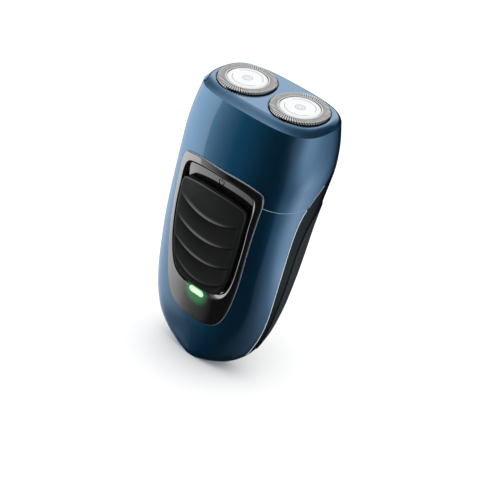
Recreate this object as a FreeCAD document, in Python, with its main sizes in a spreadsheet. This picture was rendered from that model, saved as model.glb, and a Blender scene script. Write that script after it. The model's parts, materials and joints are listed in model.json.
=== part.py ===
import FreeCAD, Part
import math
import os
import Sketcher
from FreeCAD import Placement, Rotation, Vector

# Two-head rotary travel shaver. Millimetres, +Z up, origin on the flat base.
# +X runs along the pair of heads, -Y is the front with the thumb slider.
# Deck frame: origin at the middle of the top deck, tilted forward by deck_tilt.
# Panel frame: lies along the front panel; its own Z points out of the front.

doc = FreeCAD.newDocument("electric_shaver")
sheet = doc.addObject("Spreadsheet::Sheet", "dims")

VALUES = [
    ("deck_z", 113.5), ("deck_tilt", 9.0), ("deck_flat_x", 25.65), ("deck_flat_front", 12.45), ("deck_flat_back", 13.45),
    ("bevel_drop", 2.55), ("wall", 2.0), ("deck_wall", 2.0), ("head_pitch", 26.0),
    ("deck_hole_r", 12.0), ("seam", 0.12), ("parting_q", 34.0), ("grip_depth", 1.25),
    ("grip_proud", 0.3), ("fit_gap", 0.25), ("collar_wall", 1.35),
    ("guard_r", 11.65), ("guard_wall", 0.35), ("guard_top", 1.0), ("guard_skin", 0.3),
    ("guard_low", -2.7), ("flange_r", 12.4), ("flange_top", -2.1), ("track_in_r", 8.05),
    ("slot_count", 72), ("slot_width", 0.38), ("disc_r", 7.75), ("disc_top", 1.02),
    ("stub_r", 1.0), ("stub_low", -1.9), ("run_fit", 0.06),
    ("cutter_r", 11.0), ("blade_top", 0.62), ("blade_count", 15), ("blade_width", 0.5),
    ("cutter_ring_low", -2.2), ("cutter_ring_top", -1.8), ("carrier_r", 8.0),
    ("carrier_low", -3.4), ("hub_r", 3.2), ("hub_low", -6.5), ("socket_top", -3.3),
    ("hex_af", 3.4), ("hex_bore_af", 3.6),
    ("frame_top", -4.6), ("frame_low", -6.0), ("frame_r", 12.2), ("frame_hole_r", 9.4),
    ("post_y", 9.2), ("post_r", 2.0), ("pivot_r", 1.5),
    ("cover_top", -14.2), ("cover_low", -15.6), ("gear_top", -16.7), ("gear_low", -19.2),
    ("plate_top", -20.6), ("plate_low", -22.4), ("box_in_r", 10.8),
    ("gear_module", 0.5), ("gear_teeth", 40), ("pinion_teeth", 12), ("gear_backlash", 0.05),
    ("gear_hub_r", 2.9), ("gear_foot_r", 2.6), ("box_screw_y", 9.0), ("screw_r", 1.0),
    ("spindle_low", -20.5), ("spindle_top", -3.6), ("spring_r", 2.35), ("spring_wire", 0.35),
    ("motor_r", 7.75), ("motor_flat", 6.0), ("motor_low", -43.0), ("motor_cap_low", -45.0),
    ("shaft_r", 1.0),
    ("cell_r", 5.25), ("cell_x", 17.2), ("cell_y", 3.5), ("cell_top_q", 39.4), ("cell_len", 44.3),
    ("panel_tilt", 5.5), ("panel_y", -17.1), ("panel_z", 57.5),
    ("track_floor", -1.9), ("track_skin", 1.2), ("panel_proud", 0.5), ("slider_proud", 1.75), ("slide_travel", 4.5),
    ("board_front", -9.2), ("board_thick", 1.2), ("led_w", -26.0), ("led_half", 3.55), ("led_r", 1.15),
    ("inlet_x", 6.0), ("inlet_y_front", -5.3), ("inlet_y_back", 3.3), ("inlet_top", 11.0),
    ("inlet_depth", 9.0), ("inlet_open_x", 4.6), ("inlet_open_y", 2.85), ("pin_r", 0.75), ("pin_pitch", 4.4),
    ("cover_screw_x", 13.0), ("cover_screw_z", 20.0),
]
# Body profile: depth below the deck centre, half width, front depth, back depth, corner exponent
PROFILE = [
    (-3.0, 27.00, 13.90, 14.60, 3.30),
    (2.73, 27.95, 14.60, 16.50, 3.30),
    (9.6, 28.70, 15.75, 18.55, 3.50),
    (19.3, 29.10, 17.30, 20.40, 3.55),
    (31.0, 28.35, 18.65, 19.90, 3.60),
    (44.0, 27.95, 19.00, 18.30, 3.60),
    (58.0, 28.05, 17.90, 16.85, 3.60),
    (73.0, 27.80, 15.55, 15.00, 3.60),
    (87.0, 26.60, 13.60, 12.85, 3.50),
    (97.5, 24.05, 12.05, 10.60, 3.40),
    (105.0, 20.40, 10.35, 7.70, 3.20),
    (109.8, 14.90, 9.35, 6.60, 2.90),
    (112.4, 9.90, 8.60, 6.20, 2.65),
    (113.5, 7.00, 8.05, 5.90, 2.50),
]
# Front edge of the rear cover in the side view: (depth below deck centre, y)
BORDER = [(19.0, 30.0), (19.0, 20.0), (19.1, 13.5), (20.5, 10.2), (23.7, 7.6), (27.0, 5.3), (30.0, 3.0),
          (33.0, 1.0), (36.5, -0.9), (42.0, -2.3), (51.0, -3.1), (61.5, -3.3), (70.0, -3.1),
          (78.5, -2.5), (87.0, -1.8), (96.5, -1.5), (106.0, -1.4), (116.0, -1.4)]
# Front edge of the rubber grip in the side view
RIDGE = [(35.5, 30.0), (35.5, 17.5), (36.4, 12.0), (39.0, 8.5), (43.0, 5.9), (47.5, 4.2), (53.5, 2.9), (61.5, 2.5),
         (69.8, 2.3), (77.4, 2.0), (84.7, 1.9), (90.5, 2.0), (97.0, 2.7), (101.5, 4.2), (103.5, 7.0), (104.0, 12.0),
         (104.0, 30.0)]
# Right half of outlines in the panel frame (x, w), bottom centre last
PANEL = [(17.0, 27.15), (19.1, 26.3), (20.05, 24.0), (20.05, 19.5), (19.75, 13.0), (19.4, 6.0), (19.05, -1.0), (18.4, -10.6),
         (17.1, -20.1), (15.6, -27.1), (13.5, -32.6), (10.2, -36.5), (5.5, -38.2)]
PANEL_TOP, PANEL_LOW = 27.9, -38.5
SLIDER = [(13.6, 18.75), (15.3, 18.1), (15.95, 16.4), (15.95, 12.0), (15.75, 4.5), (15.35, -2.0), (14.75, -8.0),
          (13.85, -13.5), (12.5, -18.0), (10.6, -21.0), (8.0, -22.4), (4.4, -23.0)]
SLIDER_TOP, SLIDER_LOW = 19.5, -23.15

for i, (name, value) in enumerate(VALUES):
    sheet.set("A%d" % (i + 1), name)
    sheet.set("B%d" % (i + 1), repr(value))
    sheet.setAlias("B%d" % (i + 1), name)
for i, row in enumerate(PROFILE):
    for col, word, value in zip("DEFGH", ("depth", "half", "front", "back", "corner"), row):
        cell = "%s%d" % (col, i + 1)
        sheet.set(cell, repr(value))
        sheet.setAlias(cell, "prof_%s_%s" % (word, chr(97 + i)))
doc.recompute()
RAW = dict(VALUES)


class Dim(object):
    """A number that carries the sheet expression it came from."""

    def __init__(self, value, text):
        self.value = float(value)
        self.text = text

    def __add__(self, other):
        o = dim(other)
        return Dim(self.value + o.value, "(%s + %s)" % (self.text, o.text))

    def __radd__(self, other):
        return dim(other) + self

    def __sub__(self, other):
        o = dim(other)
        return Dim(self.value - o.value, "(%s - %s)" % (self.text, o.text))

    def __rsub__(self, other):
        return dim(other) - self

    def __mul__(self, other):
        o = dim(other)
        return Dim(self.value * o.value, "(%s * %s)" % (self.text, o.text))

    def __rmul__(self, other):
        return dim(other) * self

    def __truediv__(self, other):
        o = dim(other)
        return Dim(self.value / o.value, "(%s / %s)" % (self.text, o.text))

    def __neg__(self):
        return Dim(-self.value, "(-1 * %s)" % self.text)

    def __float__(self):
        return self.value


def dim(x):
    if isinstance(x, Dim):
        return x
    return Dim(x, ("%.6f" % x))


def d(name):
    return Dim(RAW[name], "dims." + name)


def bound(x):
    return isinstance(x, Dim) and "dims." in x.text


def bind(obj, path, x):
    if bound(x):
        obj.setExpression(path, x.text)


DECK = ("deck",)
TILT = Rotation(Vector(1, 0, 0), RAW["deck_tilt"])
DECK_P = Placement(Vector(0, 0, RAW["deck_z"]), TILT)
PANEL_P = Placement(Vector(0, RAW["panel_y"], RAW["panel_z"]), Rotation(Vector(1, 0, 0), 90 + RAW["panel_tilt"]))


def plane(body, role):
    for f in body.Origin.OriginFeatures:
        if f.Role == role:
            return f


def new_body(name, where, shift_x=None, shift_w=0.0):
    body = doc.addObject("PartDesign::Body", name)
    body.Label = name
    if where == "deck":
        body.Placement = DECK_P.multiply(Placement(Vector(float(shift_x or 0), 0, 0), Rotation()))
        body.setExpression("Placement.Base.z", "dims.deck_z")
        if bound(shift_x):
            body.setExpression("Placement.Base.x", shift_x.text)
    elif where == "panel":
        t = math.radians(RAW["panel_tilt"])
        wv = float(shift_w)
        body.Placement = PANEL_P.multiply(Placement(Vector(0, wv, 0), Rotation()))
        wt = dim(shift_w).text
        body.setExpression("Placement.Base.y", "dims.panel_y - %s * %.9f" % (wt, math.sin(t)))
        body.setExpression("Placement.Base.z", "dims.panel_z + %s * %.9f" % (wt, math.cos(t)))
    return body


COUNT = [0]


def new_sketch(body, role="XY_Plane", lift=0.0):
    COUNT[0] += 1
    sk = body.newObject("Sketcher::SketchObject", "sk_%s_%d" % (body.Name, COUNT[0]))
    sk.AttachmentSupport = [(plane(body, role), "")]
    sk.MapMode = "FlatFace"
    sk.AttachmentOffset = Placement(Vector(0, 0, float(lift)), Rotation())
    bind(sk, "AttachmentOffset.Base.z", lift)
    return sk


def pin_point(sk, geo, pos, x, y):
    for kind, val in (("DistanceX", dim(x)), ("DistanceY", dim(y))):
        if abs(val.value) < 1e-9:
            sk.addConstraint(Sketcher.Constraint("PointOnObject", geo, pos, -2 if kind == "DistanceX" else -1))
            continue
        if val.value > 0:
            c = sk.addConstraint(Sketcher.Constraint(kind, -1, 1, geo, pos, val.value))
            bind(sk, "Constraints[%d]" % c, val)
        else:
            c = sk.addConstraint(Sketcher.Constraint(kind, geo, pos, -1, 1, -val.value))
            bind(sk, "Constraints[%d]" % c, -val)


def add_poly(sk, pts):
    n = len(pts)
    base = sk.GeometryCount
    for i in range(n):
        p, q = pts[i], pts[(i + 1) % n]
        sk.addGeometry(Part.LineSegment(Vector(float(p[0]), float(p[1]), 0), Vector(float(q[0]), float(q[1]), 0)), False)
    for i in range(n):
        sk.addConstraint(Sketcher.Constraint("Coincident", base + i, 2, base + (i + 1) % n, 1))
    for i, p in enumerate(pts):
        pin_point(sk, base + i, 1, p[0], p[1])


def add_circle(sk, x, y, r):
    g = sk.addGeometry(Part.Circle(Vector(float(x), float(y), 0), Vector(0, 0, 1), float(r)), False)
    c = sk.addConstraint(Sketcher.Constraint("Radius", g, float(r)))
    bind(sk, "Constraints[%d]" % c, dim(r) if not isinstance(r, Dim) else r)
    pin_point(sk, g, 3, x, y)


def add_rect(sk, x0, y0, x1, y1):
    add_poly(sk, [(x0, y0), (x1, y0), (x1, y1), (x0, y1)])


def add_hex(sk, x, y, af):
    r = float(af) / math.sqrt(3)
    pts = [(float(x) + r * math.cos(math.radians(60 * k)), float(y) + r * math.sin(math.radians(60 * k))) for k in range(6)]
    a = dim(af)
    k3 = 1.0 / math.sqrt(3)
    out = []
    for k in range(6):
        cx, sy = math.cos(math.radians(60 * k)), math.sin(math.radians(60 * k))
        px = dim(x) + a * (k3 * cx) if abs(cx) > 1e-9 else dim(x)
        py = a * (k3 * sy) if abs(sy) > 1e-9 else 0.0
        out.append((px, py if not y else dim(y) + py))
    add_poly(sk, out)


def add_race(sk, half, r):
    """Racetrack: two half circles of radius r about (+-half, 0)."""
    h, r0 = float(half), float(r)
    a = sk.addGeometry(Part.LineSegment(Vector(-h, -r0, 0), Vector(h, -r0, 0)), False)
    b = sk.addGeometry(Part.ArcOfCircle(Part.Circle(Vector(h, 0, 0), Vector(0, 0, 1), r0), -math.pi / 2, math.pi / 2), False)
    c = sk.addGeometry(Part.LineSegment(Vector(h, r0, 0), Vector(-h, r0, 0)), False)
    e = sk.addGeometry(Part.ArcOfCircle(Part.Circle(Vector(-h, 0, 0), Vector(0, 0, 1), r0), math.pi / 2, 3 * math.pi / 2), False)
    sk.addConstraint(Sketcher.Constraint("Tangent", a, 2, b, 1))
    sk.addConstraint(Sketcher.Constraint("Tangent", b, 2, c, 1))
    sk.addConstraint(Sketcher.Constraint("Tangent", c, 2, e, 1))
    sk.addConstraint(Sketcher.Constraint("Tangent", e, 2, a, 1))
    k = sk.addConstraint(Sketcher.Constraint("Radius", b, r0))
    bind(sk, "Constraints[%d]" % k, dim(r))
    pin_point(sk, b, 3, half, 0)
    sk.addConstraint(Sketcher.Constraint("Symmetric", b, 3, e, 3, -1, 1))


def add_flatround(sk, r, flat):
    """Circle of radius r with two flats at y = +-flat."""
    r0, f = float(r), float(flat)
    t = math.asin(f / r0)
    x = r0 * math.cos(t)
    a = sk.addGeometry(Part.ArcOfCircle(Part.Circle(Vector(0, 0, 0), Vector(0, 0, 1), r0), -t, t), False)
    b = sk.addGeometry(Part.LineSegment(Vector(x, f, 0), Vector(-x, f, 0)), False)
    c = sk.addGeometry(Part.ArcOfCircle(Part.Circle(Vector(0, 0, 0), Vector(0, 0, 1), r0), math.pi - t, math.pi + t), False)
    e = sk.addGeometry(Part.LineSegment(Vector(-x, -f, 0), Vector(x, -f, 0)), False)
    for p, q in ((a, b), (b, c), (c, e), (e, a)):
        sk.addConstraint(Sketcher.Constraint("Coincident", p, 2, q, 1))
    sk.addConstraint(Sketcher.Constraint("Coincident", a, 3, -1, 1))
    sk.addConstraint(Sketcher.Constraint("Coincident", c, 3, -1, 1))
    sk.addConstraint(Sketcher.Constraint("Horizontal", b))
    sk.addConstraint(Sketcher.Constraint("Horizontal", e))
    k = sk.addConstraint(Sketcher.Constraint("Radius", a, r0))
    bind(sk, "Constraints[%d]" % k, dim(r))
    k = sk.addConstraint(Sketcher.Constraint("DistanceY", -1, 1, a, 2, f))
    bind(sk, "Constraints[%d]" % k, dim(flat))


def add_sector(sk, r0, r1, a0, a1):
    """Ring sector from angle a0 to a1 (degrees)."""
    t0, t1 = math.radians(a0), math.radians(a1)
    o = sk.addGeometry(Part.ArcOfCircle(Part.Circle(Vector(0, 0, 0), Vector(0, 0, 1), float(r1)), t0, t1), False)
    i = sk.addGeometry(Part.ArcOfCircle(Part.Circle(Vector(0, 0, 0), Vector(0, 0, 1), float(r0)), t0, t1), False)
    pa = Vector(float(r0) * math.cos(t0), float(r0) * math.sin(t0), 0)
    pb = Vector(float(r1) * math.cos(t0), float(r1) * math.sin(t0), 0)
    pc = Vector(float(r1) * math.cos(t1), float(r1) * math.sin(t1), 0)
    pd = Vector(float(r0) * math.cos(t1), float(r0) * math.sin(t1), 0)
    e = sk.addGeometry(Part.LineSegment(pa, pb), False)
    f = sk.addGeometry(Part.LineSegment(pc, pd), False)
    sk.addConstraint(Sketcher.Constraint("Coincident", e, 2, o, 1))
    sk.addConstraint(Sketcher.Constraint("Coincident", o, 2, f, 1))
    sk.addConstraint(Sketcher.Constraint("Coincident", f, 2, i, 2))
    sk.addConstraint(Sketcher.Constraint("Coincident", i, 1, e, 1))


def add_spline_loop(sk, knots, closed_line=None):
    """Smooth open B-spline through knots, closed by straight lines through closed_line."""
    curve = Part.BSplineCurve()
    curve.interpolate([Vector(float(x), float(y), 0) for x, y in knots])
    first = sk.addGeometry(curve, False)
    pts = [knots[-1]] + list(closed_line or []) + [knots[0]]
    prev = first
    for p, q in zip(pts, pts[1:]):
        g = sk.addGeometry(Part.LineSegment(Vector(p[0], p[1], 0), Vector(q[0], q[1], 0)), False)
        sk.addConstraint(Sketcher.Constraint("Coincident", prev, 2, g, 1))
        prev = g
    sk.addConstraint(Sketcher.Constraint("Coincident", prev, 2, first, 1))


def outline_knots(right, top, low, grow=0.0, lift=0.0):
    """Knots of the right half of a left-right symmetric outline, grown outwards, its top raised by lift."""
    pts = [(0.0, top)] + list(right) + [(0.0, low)]
    n = len(pts)
    out = []
    for i, (x, y) in enumerate(pts):
        if i == 0:
            nx, ny = 0.0, 1.0
        elif i == n - 1:
            nx, ny = 0.0, -1.0
        else:
            tx, ty = pts[i + 1][0] - pts[i - 1][0], pts[i + 1][1] - pts[i - 1][1]
            s = math.hypot(tx, ty)
            nx, ny = -ty / s, tx / s
        out.append((x + grow * nx, y + grow * ny + (lift if y > top - 12 else 0.0)))
    return out


def add_outline(sk, right, top, low, grow=0.0, lift=0.0):
    """Right half as one smooth spline from top to bottom, left half its mirror image."""
    ks = outline_knots(right, top, low, grow, lift)
    a = Part.BSplineCurve()
    a.interpolate(Points=[Vector(x, y, 0) for x, y in ks], InitialTangent=Vector(1, 0, 0), FinalTangent=Vector(-1, 0, 0))
    b = a.copy()
    b.rotate(Placement(Vector(0, 0, 0), Rotation(Vector(0, 1, 0), 180)))
    b.reverse()
    ga = sk.addGeometry(a, False)
    gb = sk.addGeometry(b, False)
    sk.addConstraint(Sketcher.Constraint("Coincident", ga, 2, gb, 1))
    sk.addConstraint(Sketcher.Constraint("Coincident", gb, 2, ga, 1))


SHAPES = {"poly": add_poly, "circle": add_circle, "rect": add_rect, "hex": add_hex, "race": add_race,
          "flatround": add_flatround, "sector": add_sector, "outline": add_outline, "loop": add_spline_loop}


def draw(sk, shapes):
    for s in shapes:
        if s[0] == "poly":
            add_poly(sk, s[1])
        else:
            SHAPES[s[0]](sk, *s[1:])


def op_pad(body, shapes, low, high, role="XY_Plane"):
    sk = new_sketch(body, role, low)
    draw(sk, shapes)
    f = body.newObject("PartDesign::Pad", "pad_%s_%d" % (body.Name, COUNT[0]))
    f.Profile = sk
    length = dim(high) - dim(low)
    f.Length = length.value
    bind(f, "Length", length)
    return f


def op_cut(body, shapes, low, high, role="XY_Plane"):
    sk = new_sketch(body, role, high)
    draw(sk, shapes)
    f = body.newObject("PartDesign::Pocket", "cut_%s_%d" % (body.Name, COUNT[0]))
    f.Profile = sk
    length = dim(high) - dim(low)
    f.Length = length.value
    bind(f, "Length", length)
    return f


def op_rev(body, pts):
    sk = new_sketch(body, "XZ_Plane", 0.0)
    add_poly(sk, pts)
    f = body.newObject("PartDesign::Revolution", "rev_%s_%d" % (body.Name, COUNT[0]))
    f.Profile = sk
    f.ReferenceAxis = (sk, ["V_Axis"])
    f.Angle = 360
    return f


def op_groove(body, pts):
    sk = new_sketch(body, "XZ_Plane", 0.0)
    add_poly(sk, pts)
    f = body.newObject("PartDesign::Groove", "groove_%s_%d" % (body.Name, COUNT[0]))
    f.Profile = sk
    f.ReferenceAxis = (sk, ["V_Axis"])
    f.Angle = 360
    return f


def z_axis(body):
    for f in body.Origin.OriginFeatures:
        if f.Role == "Z_Axis":
            return f


def op_polar(body, feature, count):
    f = body.newObject("PartDesign::PolarPattern", "polar_%s_%d" % (body.Name, COUNT[0]))
    f.Originals = [feature]
    f.Axis = (z_axis(body), [""])
    f.Angle = 360
    f.Occurrences = int(float(count))
    bind(f, "Occurrences", count)
    body.Tip = f
    return f


def build(name, where, ops, shift_x=None, shift_w=0.0):
    body = new_body(name, where, shift_x, shift_w)
    for op in ops:
        if op[0] == "pad":
            op_pad(body, *op[1:])
        elif op[0] == "cut":
            op_cut(body, *op[1:])
        elif op[0] == "rev":
            op_rev(body, op[1])
        elif op[0] == "groove":
            op_groove(body, op[1])
    return body


def binary(kind, name, base, tool):
    f = doc.addObject("Part::" + kind, name)
    f.Base = base
    f.Tool = tool
    f.Label = name
    return f


def cut(name, base, tool):
    return binary("Cut", name, base, tool)


def common(name, base, tool):
    return binary("Common", name, base, tool)


def fuse(name, items):
    f = doc.addObject("Part::MultiFuse", name)
    f.Shapes = items
    f.Refine = False
    f.Label = name
    return f


def box(name, x0, x1, y0, y1, z0, z1):
    b = doc.addObject("Part::Box", name)
    b.Label = name
    for path, val in (("Length", dim(x1) - dim(x0)), ("Width", dim(y1) - dim(y0)), ("Height", dim(z1) - dim(z0))):
        setattr(b, path, val.value)
        bind(b, path, val)
    b.Placement = Placement(Vector(float(x0), float(y0), float(z0)), Rotation())
    for path, val in (("Placement.Base.x", x0), ("Placement.Base.y", y0), ("Placement.Base.z", z0)):
        bind(b, path, val)
    return b


def cyl_y(name, x, z, r, y0, y1):
    """Cylinder along +Y from y0 to y1."""
    c = doc.addObject("Part::Cylinder", name)
    c.Label = name
    c.Radius = float(r)
    bind(c, "Radius", r)
    length = dim(y1) - dim(y0)
    c.Height = length.value
    bind(c, "Height", length)
    c.Placement = Placement(Vector(float(x), float(y0), float(z)), Rotation(Vector(1, 0, 0), -90))
    for path, val in (("Placement.Base.x", x), ("Placement.Base.y", y0), ("Placement.Base.z", z)):
        bind(c, path, val)
    return c


# ---------------------------------------------------------------- outer form
def spline_at(col, q):
    """Catmull-Rom through the profile table; also returns the slope."""
    rows = PROFILE
    if q <= rows[0][0]:
        return rows[0][col], 0.0
    if q >= rows[-1][0]:
        return rows[-1][col], 0.0
    for i in range(len(rows) - 1):
        if rows[i][0] <= q <= rows[i + 1][0]:
            break

    def tangent(k):
        if k == 0:
            return (rows[1][col] - rows[0][col]) / (rows[1][0] - rows[0][0])
        if k == len(rows) - 1:
            return (rows[k][col] - rows[k - 1][col]) / (rows[k][0] - rows[k - 1][0])
        h0, h1 = rows[k][0] - rows[k - 1][0], rows[k + 1][0] - rows[k][0]
        s0, s1 = (rows[k][col] - rows[k - 1][col]) / h0, (rows[k + 1][col] - rows[k][col]) / h1
        return (s0 * h1 + s1 * h0) / (h0 + h1)
    h = rows[i + 1][0] - rows[i][0]
    t = (q - rows[i][0]) / h
    m0, m1 = tangent(i) * h, tangent(i + 1) * h
    p0, p1 = rows[i][col], rows[i + 1][col]
    v = (2 * t**3 - 3 * t**2 + 1) * p0 + (t**3 - 2 * t**2 + t) * m0 + (-2 * t**3 + 3 * t**2) * p1 + (t**3 - t**2) * m1
    s = ((6 * t**2 - 6 * t) * p0 + (3 * t**2 - 4 * t + 1) * m0 + (-6 * t**2 + 6 * t) * p1 + (3 * t**2 - 2 * t) * m1) / h
    return v, s


def tilted_section(q0, tilt, inset):
    """Half width, front and back reach in a plane tilted forward through (0, 0, deck_z - q0)."""
    cs, sn = math.cos(math.radians(tilt)), math.sin(math.radians(tilt))
    a, s = spline_at(1, q0)
    a -= inset * math.sqrt(1 + s * s)
    front = 15.0
    back = 15.0
    for _ in range(30):
        v, s = spline_at(2, q0 + sn * front)
        front = (v - inset * math.sqrt(1 + s * s)) / cs
        v, s = spline_at(3, q0 - sn * back)
        back = (v - inset * math.sqrt(1 + s * s)) / cs
    n, _ = spline_at(4, q0)
    return a, front, back, n


def draw_section(sk, a, front, back, n):
    """Closed loop of four cubic quadrants that follow |x/a|^n + |y/b|^n = 1."""
    k = (8 * 2 ** (-1.0 / n) - 4) / 3.0
    quads = [
        [(a, 0), (a, k * back), (k * a, back), (0, back)],
        [(0, back), (-k * a, back), (-a, k * back), (-a, 0)],
        [(-a, 0), (-a, -k * front), (-k * a, -front), (0, -front)],
        [(0, -front), (k * a, -front), (a, -k * front), (a, 0)],
    ]
    ids = []
    for qd in quads:
        bz = Part.BezierCurve()
        bz.setPoles([Vector(x, y, 0) for x, y in qd])
        ids.append(sk.addGeometry(bz.toBSpline(), False))
    for i in range(4):
        sk.addConstraint(Sketcher.Constraint("Coincident", ids[i], 2, ids[(i + 1) % 4], 1))


STATIONS = [(2.55, 9.0), (6.2, 8.3), (9.8, 7.2), (14.5, 5.6), (19.5, 3.6), (25.0, 1.4), (31.0, 0), (37.5, 0), (44.0, 0),
            (51.0, 0), (58.0, 0), (65.5, 0), (73.0, 0), (80.0, 0), (87.0, 0), (92.5, 0), (97.5, 0), (101.5, 0), (105.0, 0),
            (107.6, 0), (109.8, 0), (111.3, 0), (112.4, 0), (113.5, 0)]


def loft_form(name, inset, q_top, q_low, top=None, low=None):
    body = new_body(name, "world")
    rows = [r for r in STATIONS if q_top < r[0] < q_low]
    if top is not None:
        rows = [top] + [r for r in rows if r[0] > top[0] + 2.0]
    if low is not None:
        rows = [r for r in rows if r[0] < low - 1.0] + [(low, 0)]
    sketches = []
    for q0, tilt in rows:
        sk = new_sketch(body, "XY_Plane", 0.0)
        sk.AttachmentOffset = Placement(Vector(0, 0, RAW["deck_z"] - q0), Rotation(Vector(1, 0, 0), tilt))
        sk.setExpression("AttachmentOffset.Base.z", "dims.deck_z - %.6f" % q0)
        draw_section(sk, *tilted_section(q0, tilt, inset))
        sketches.append(sk)
    f = body.newObject("PartDesign::AdditiveLoft", "loft_" + name)
    f.Profile = sketches[0]
    f.Sections = sketches[1:]
    f.Ruled = False
    f.Closed = False
    return body


outer_main = loft_form("form_outer_main", 0.0, 0.0, 200.0)
# rounded cap above the crease, up to the flat deck
cap = new_body("form_cap", "world")
ca, cf, cb, cn = tilted_section(RAW["bevel_drop"], RAW["deck_tilt"], 0.0)
cap_rows = [(RAW["bevel_drop"], "dims.bevel_drop", ca, cf, cb, cn),
            (1.145, "1.145", 27.05, 13.75, 15.2, 3.25),
            (0.294, "0.294", 26.3, 13.0, 14.25, 3.15),
            (0.0, "0", RAW["deck_flat_x"], RAW["deck_flat_front"], RAW["deck_flat_back"], 3.1)]
cap_sketches = []
for q0, text, a0, f0, b0, n0 in cap_rows:
    sk = new_sketch(cap)
    sk.AttachmentOffset = Placement(Vector(0, 0, RAW["deck_z"] - q0), Rotation(Vector(1, 0, 0), RAW["deck_tilt"]))
    sk.setExpression("AttachmentOffset.Base.z", "dims.deck_z - " + text)
    draw_section(sk, a0, f0, b0, n0)
    cap_sketches.append(sk)
f = cap.newObject("PartDesign::AdditiveLoft", "loft_cap")
f.Profile = cap_sketches[0]
f.Sections = cap_sketches[1:]
f.Ruled = False
outer = fuse("form_outer", [outer_main, cap])

W = RAW["wall"]
inner = loft_form("form_inner", W, 2.5, 109.0, top=(RAW["deck_wall"] / math.cos(math.radians(9)), 9.0), low=108.6)
fit = loft_form("form_fit", W + RAW["fit_gap"], 14.0, 106.0)
fit_in = loft_form("form_fit_in", W + RAW["fit_gap"] + RAW["collar_wall"], 14.0, 106.0)
grip_out = loft_form("form_grip_out", -RAW["grip_proud"], 14.0, 112.0)
grip_in = loft_form("form_grip_in", RAW["grip_depth"], 14.0, 112.0)
slide_form = loft_form("form_slide", -RAW["slider_proud"], 14.0, 106.0)
panel_form = loft_form("form_panel_out", -RAW["panel_proud"], 14.0, 112.0)


# side-view regions, extruded along X
def side_prism(name, knots, lines, gap_y=0.0, gap_q=0.0):
    """Region in the YZ plane: spline through knots (q, y) then straight lines, padded both ways along X."""
    body = new_body(name, "world")
    sk = new_sketch(body, "YZ_Plane", -40.0)
    zz = RAW["deck_z"]
    ks = [(y + gap_y, zz - (q + gap_q)) for q, y in knots]
    add_spline_loop(sk, ks, [(y, zz - q) for q, y in lines])
    f = body.newObject("PartDesign::Pad", "pad_" + name)
    f.Profile = sk
    f.Length = 80.0
    return body


g = RAW["seam"] / 2
P = RAW["parting_q"]


def border_y(q, table):
    for (q0, y0), (q1, y1) in zip(table, table[1:]):
        if q0 <= q <= q1 and q1 > q0:
            return y0 + (y1 - y0) * (q - q0) / (q1 - q0)
    return table[-1][1]


upper = [p for p in BORDER if p[0] <= 36.5]
front_prism = side_prism("region_front", BORDER, [(116.0, -40.0), (19.0, -40.0), (-20.0, -40.0), (-20.0, 30.0)], -g, -g)
rear_prism = side_prism("region_rear", BORDER, [(116.0, 30.0)], g, g)
grip_prism = side_prism("region_grip", RIDGE, [], 0.0, 0.0)

zp = d("deck_z") - d("parting_q")
head_box = box("region_head", -40, 40, -40, 40, zp + d("seam") / 2, 140)
body_box = box("region_body", -40, 40, -40, 40, -1, zp - d("seam") / 2)

front_solid = common("front_solid", outer, front_prism)
front_hollow = cut("front_hollow", front_solid, inner)

# ---------------------------------------------------------------- head shell
half = d("head_pitch") / 2
deck_holes = fuse("tool_deck_holes", [
    build("tool_holes_right", "deck", [("pad", [("circle", half, 0, d("deck_hole_r"))], -4, 6), ("pad", [("circle", half, 0, d("flange_r") + 0.35)], -6.0, -d("deck_wall"))]),
    build("tool_holes_left", "deck", [("pad", [("circle", -half, 0, d("deck_hole_r"))], -4, 6), ("pad", [("circle", -half, 0, d("flange_r") + 0.35)], -6.0, -d("deck_wall"))]),
])
notch = build("tool_panel_notch", "panel", [("pad", [("outline", PANEL, PANEL_TOP, PANEL_LOW, 0.28)], -8, 12)])
posts = build("tool_posts", "deck", [
    ("pad", [("circle", 0, d("post_y"), d("post_r")), ("circle", 0, -d("post_y"), d("post_r"))], -7.8, -1.0),
    ("cut", [("rect", -3, -8.45, 3, 8.45)], -7.2, -6.0),
])
head_a = common("head_a", front_hollow, head_box)
head_b = cut("head_b", head_a, deck_holes)
head_c = cut("head_c", head_b, notch)
head_shell = fuse("head_shell", [head_c, posts])

# ---------------------------------------------------------------- body shell
panel_hole = build("tool_panel_hole", "panel", [("pad", [("outline", PANEL, PANEL_TOP, PANEL_LOW, 0.06)], -8, 12)])
inlet_hole = box("tool_inlet_hole", -d("inlet_x") - 0.03, d("inlet_x") + 0.03, d("inlet_y_front") - 0.03, d("inlet_y_back") + 0.03, -1, d("inlet_top") + 0.03)
body_a = common("body_a", front_hollow, body_box)
body_b = cut("body_b", body_a, panel_hole)
body_c = cut("body_c", body_b, inlet_hole)
sx, sz = d("cover_screw_x"), d("cover_screw_z")
fboss = fuse("front_bosses", [cyl_y("fboss_right", sx, sz, 2.6, -20, -0.05), cyl_y("fboss_left", -sx, sz, 2.6, -20, -0.05)])
fboss_in = common("front_bosses_in", fboss, front_solid)
fbore = fuse("front_bores", [cyl_y("fbore_right", sx, sz, d("screw_r") + 0.02, -6.0, 1), cyl_y("fbore_left", -sx, sz, d("screw_r") + 0.02, -6.0, 1)])
body_d = fuse("body_d", [body_c, fboss_in])
body_shell = cut("body_shell", body_d, fbore)

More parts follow.
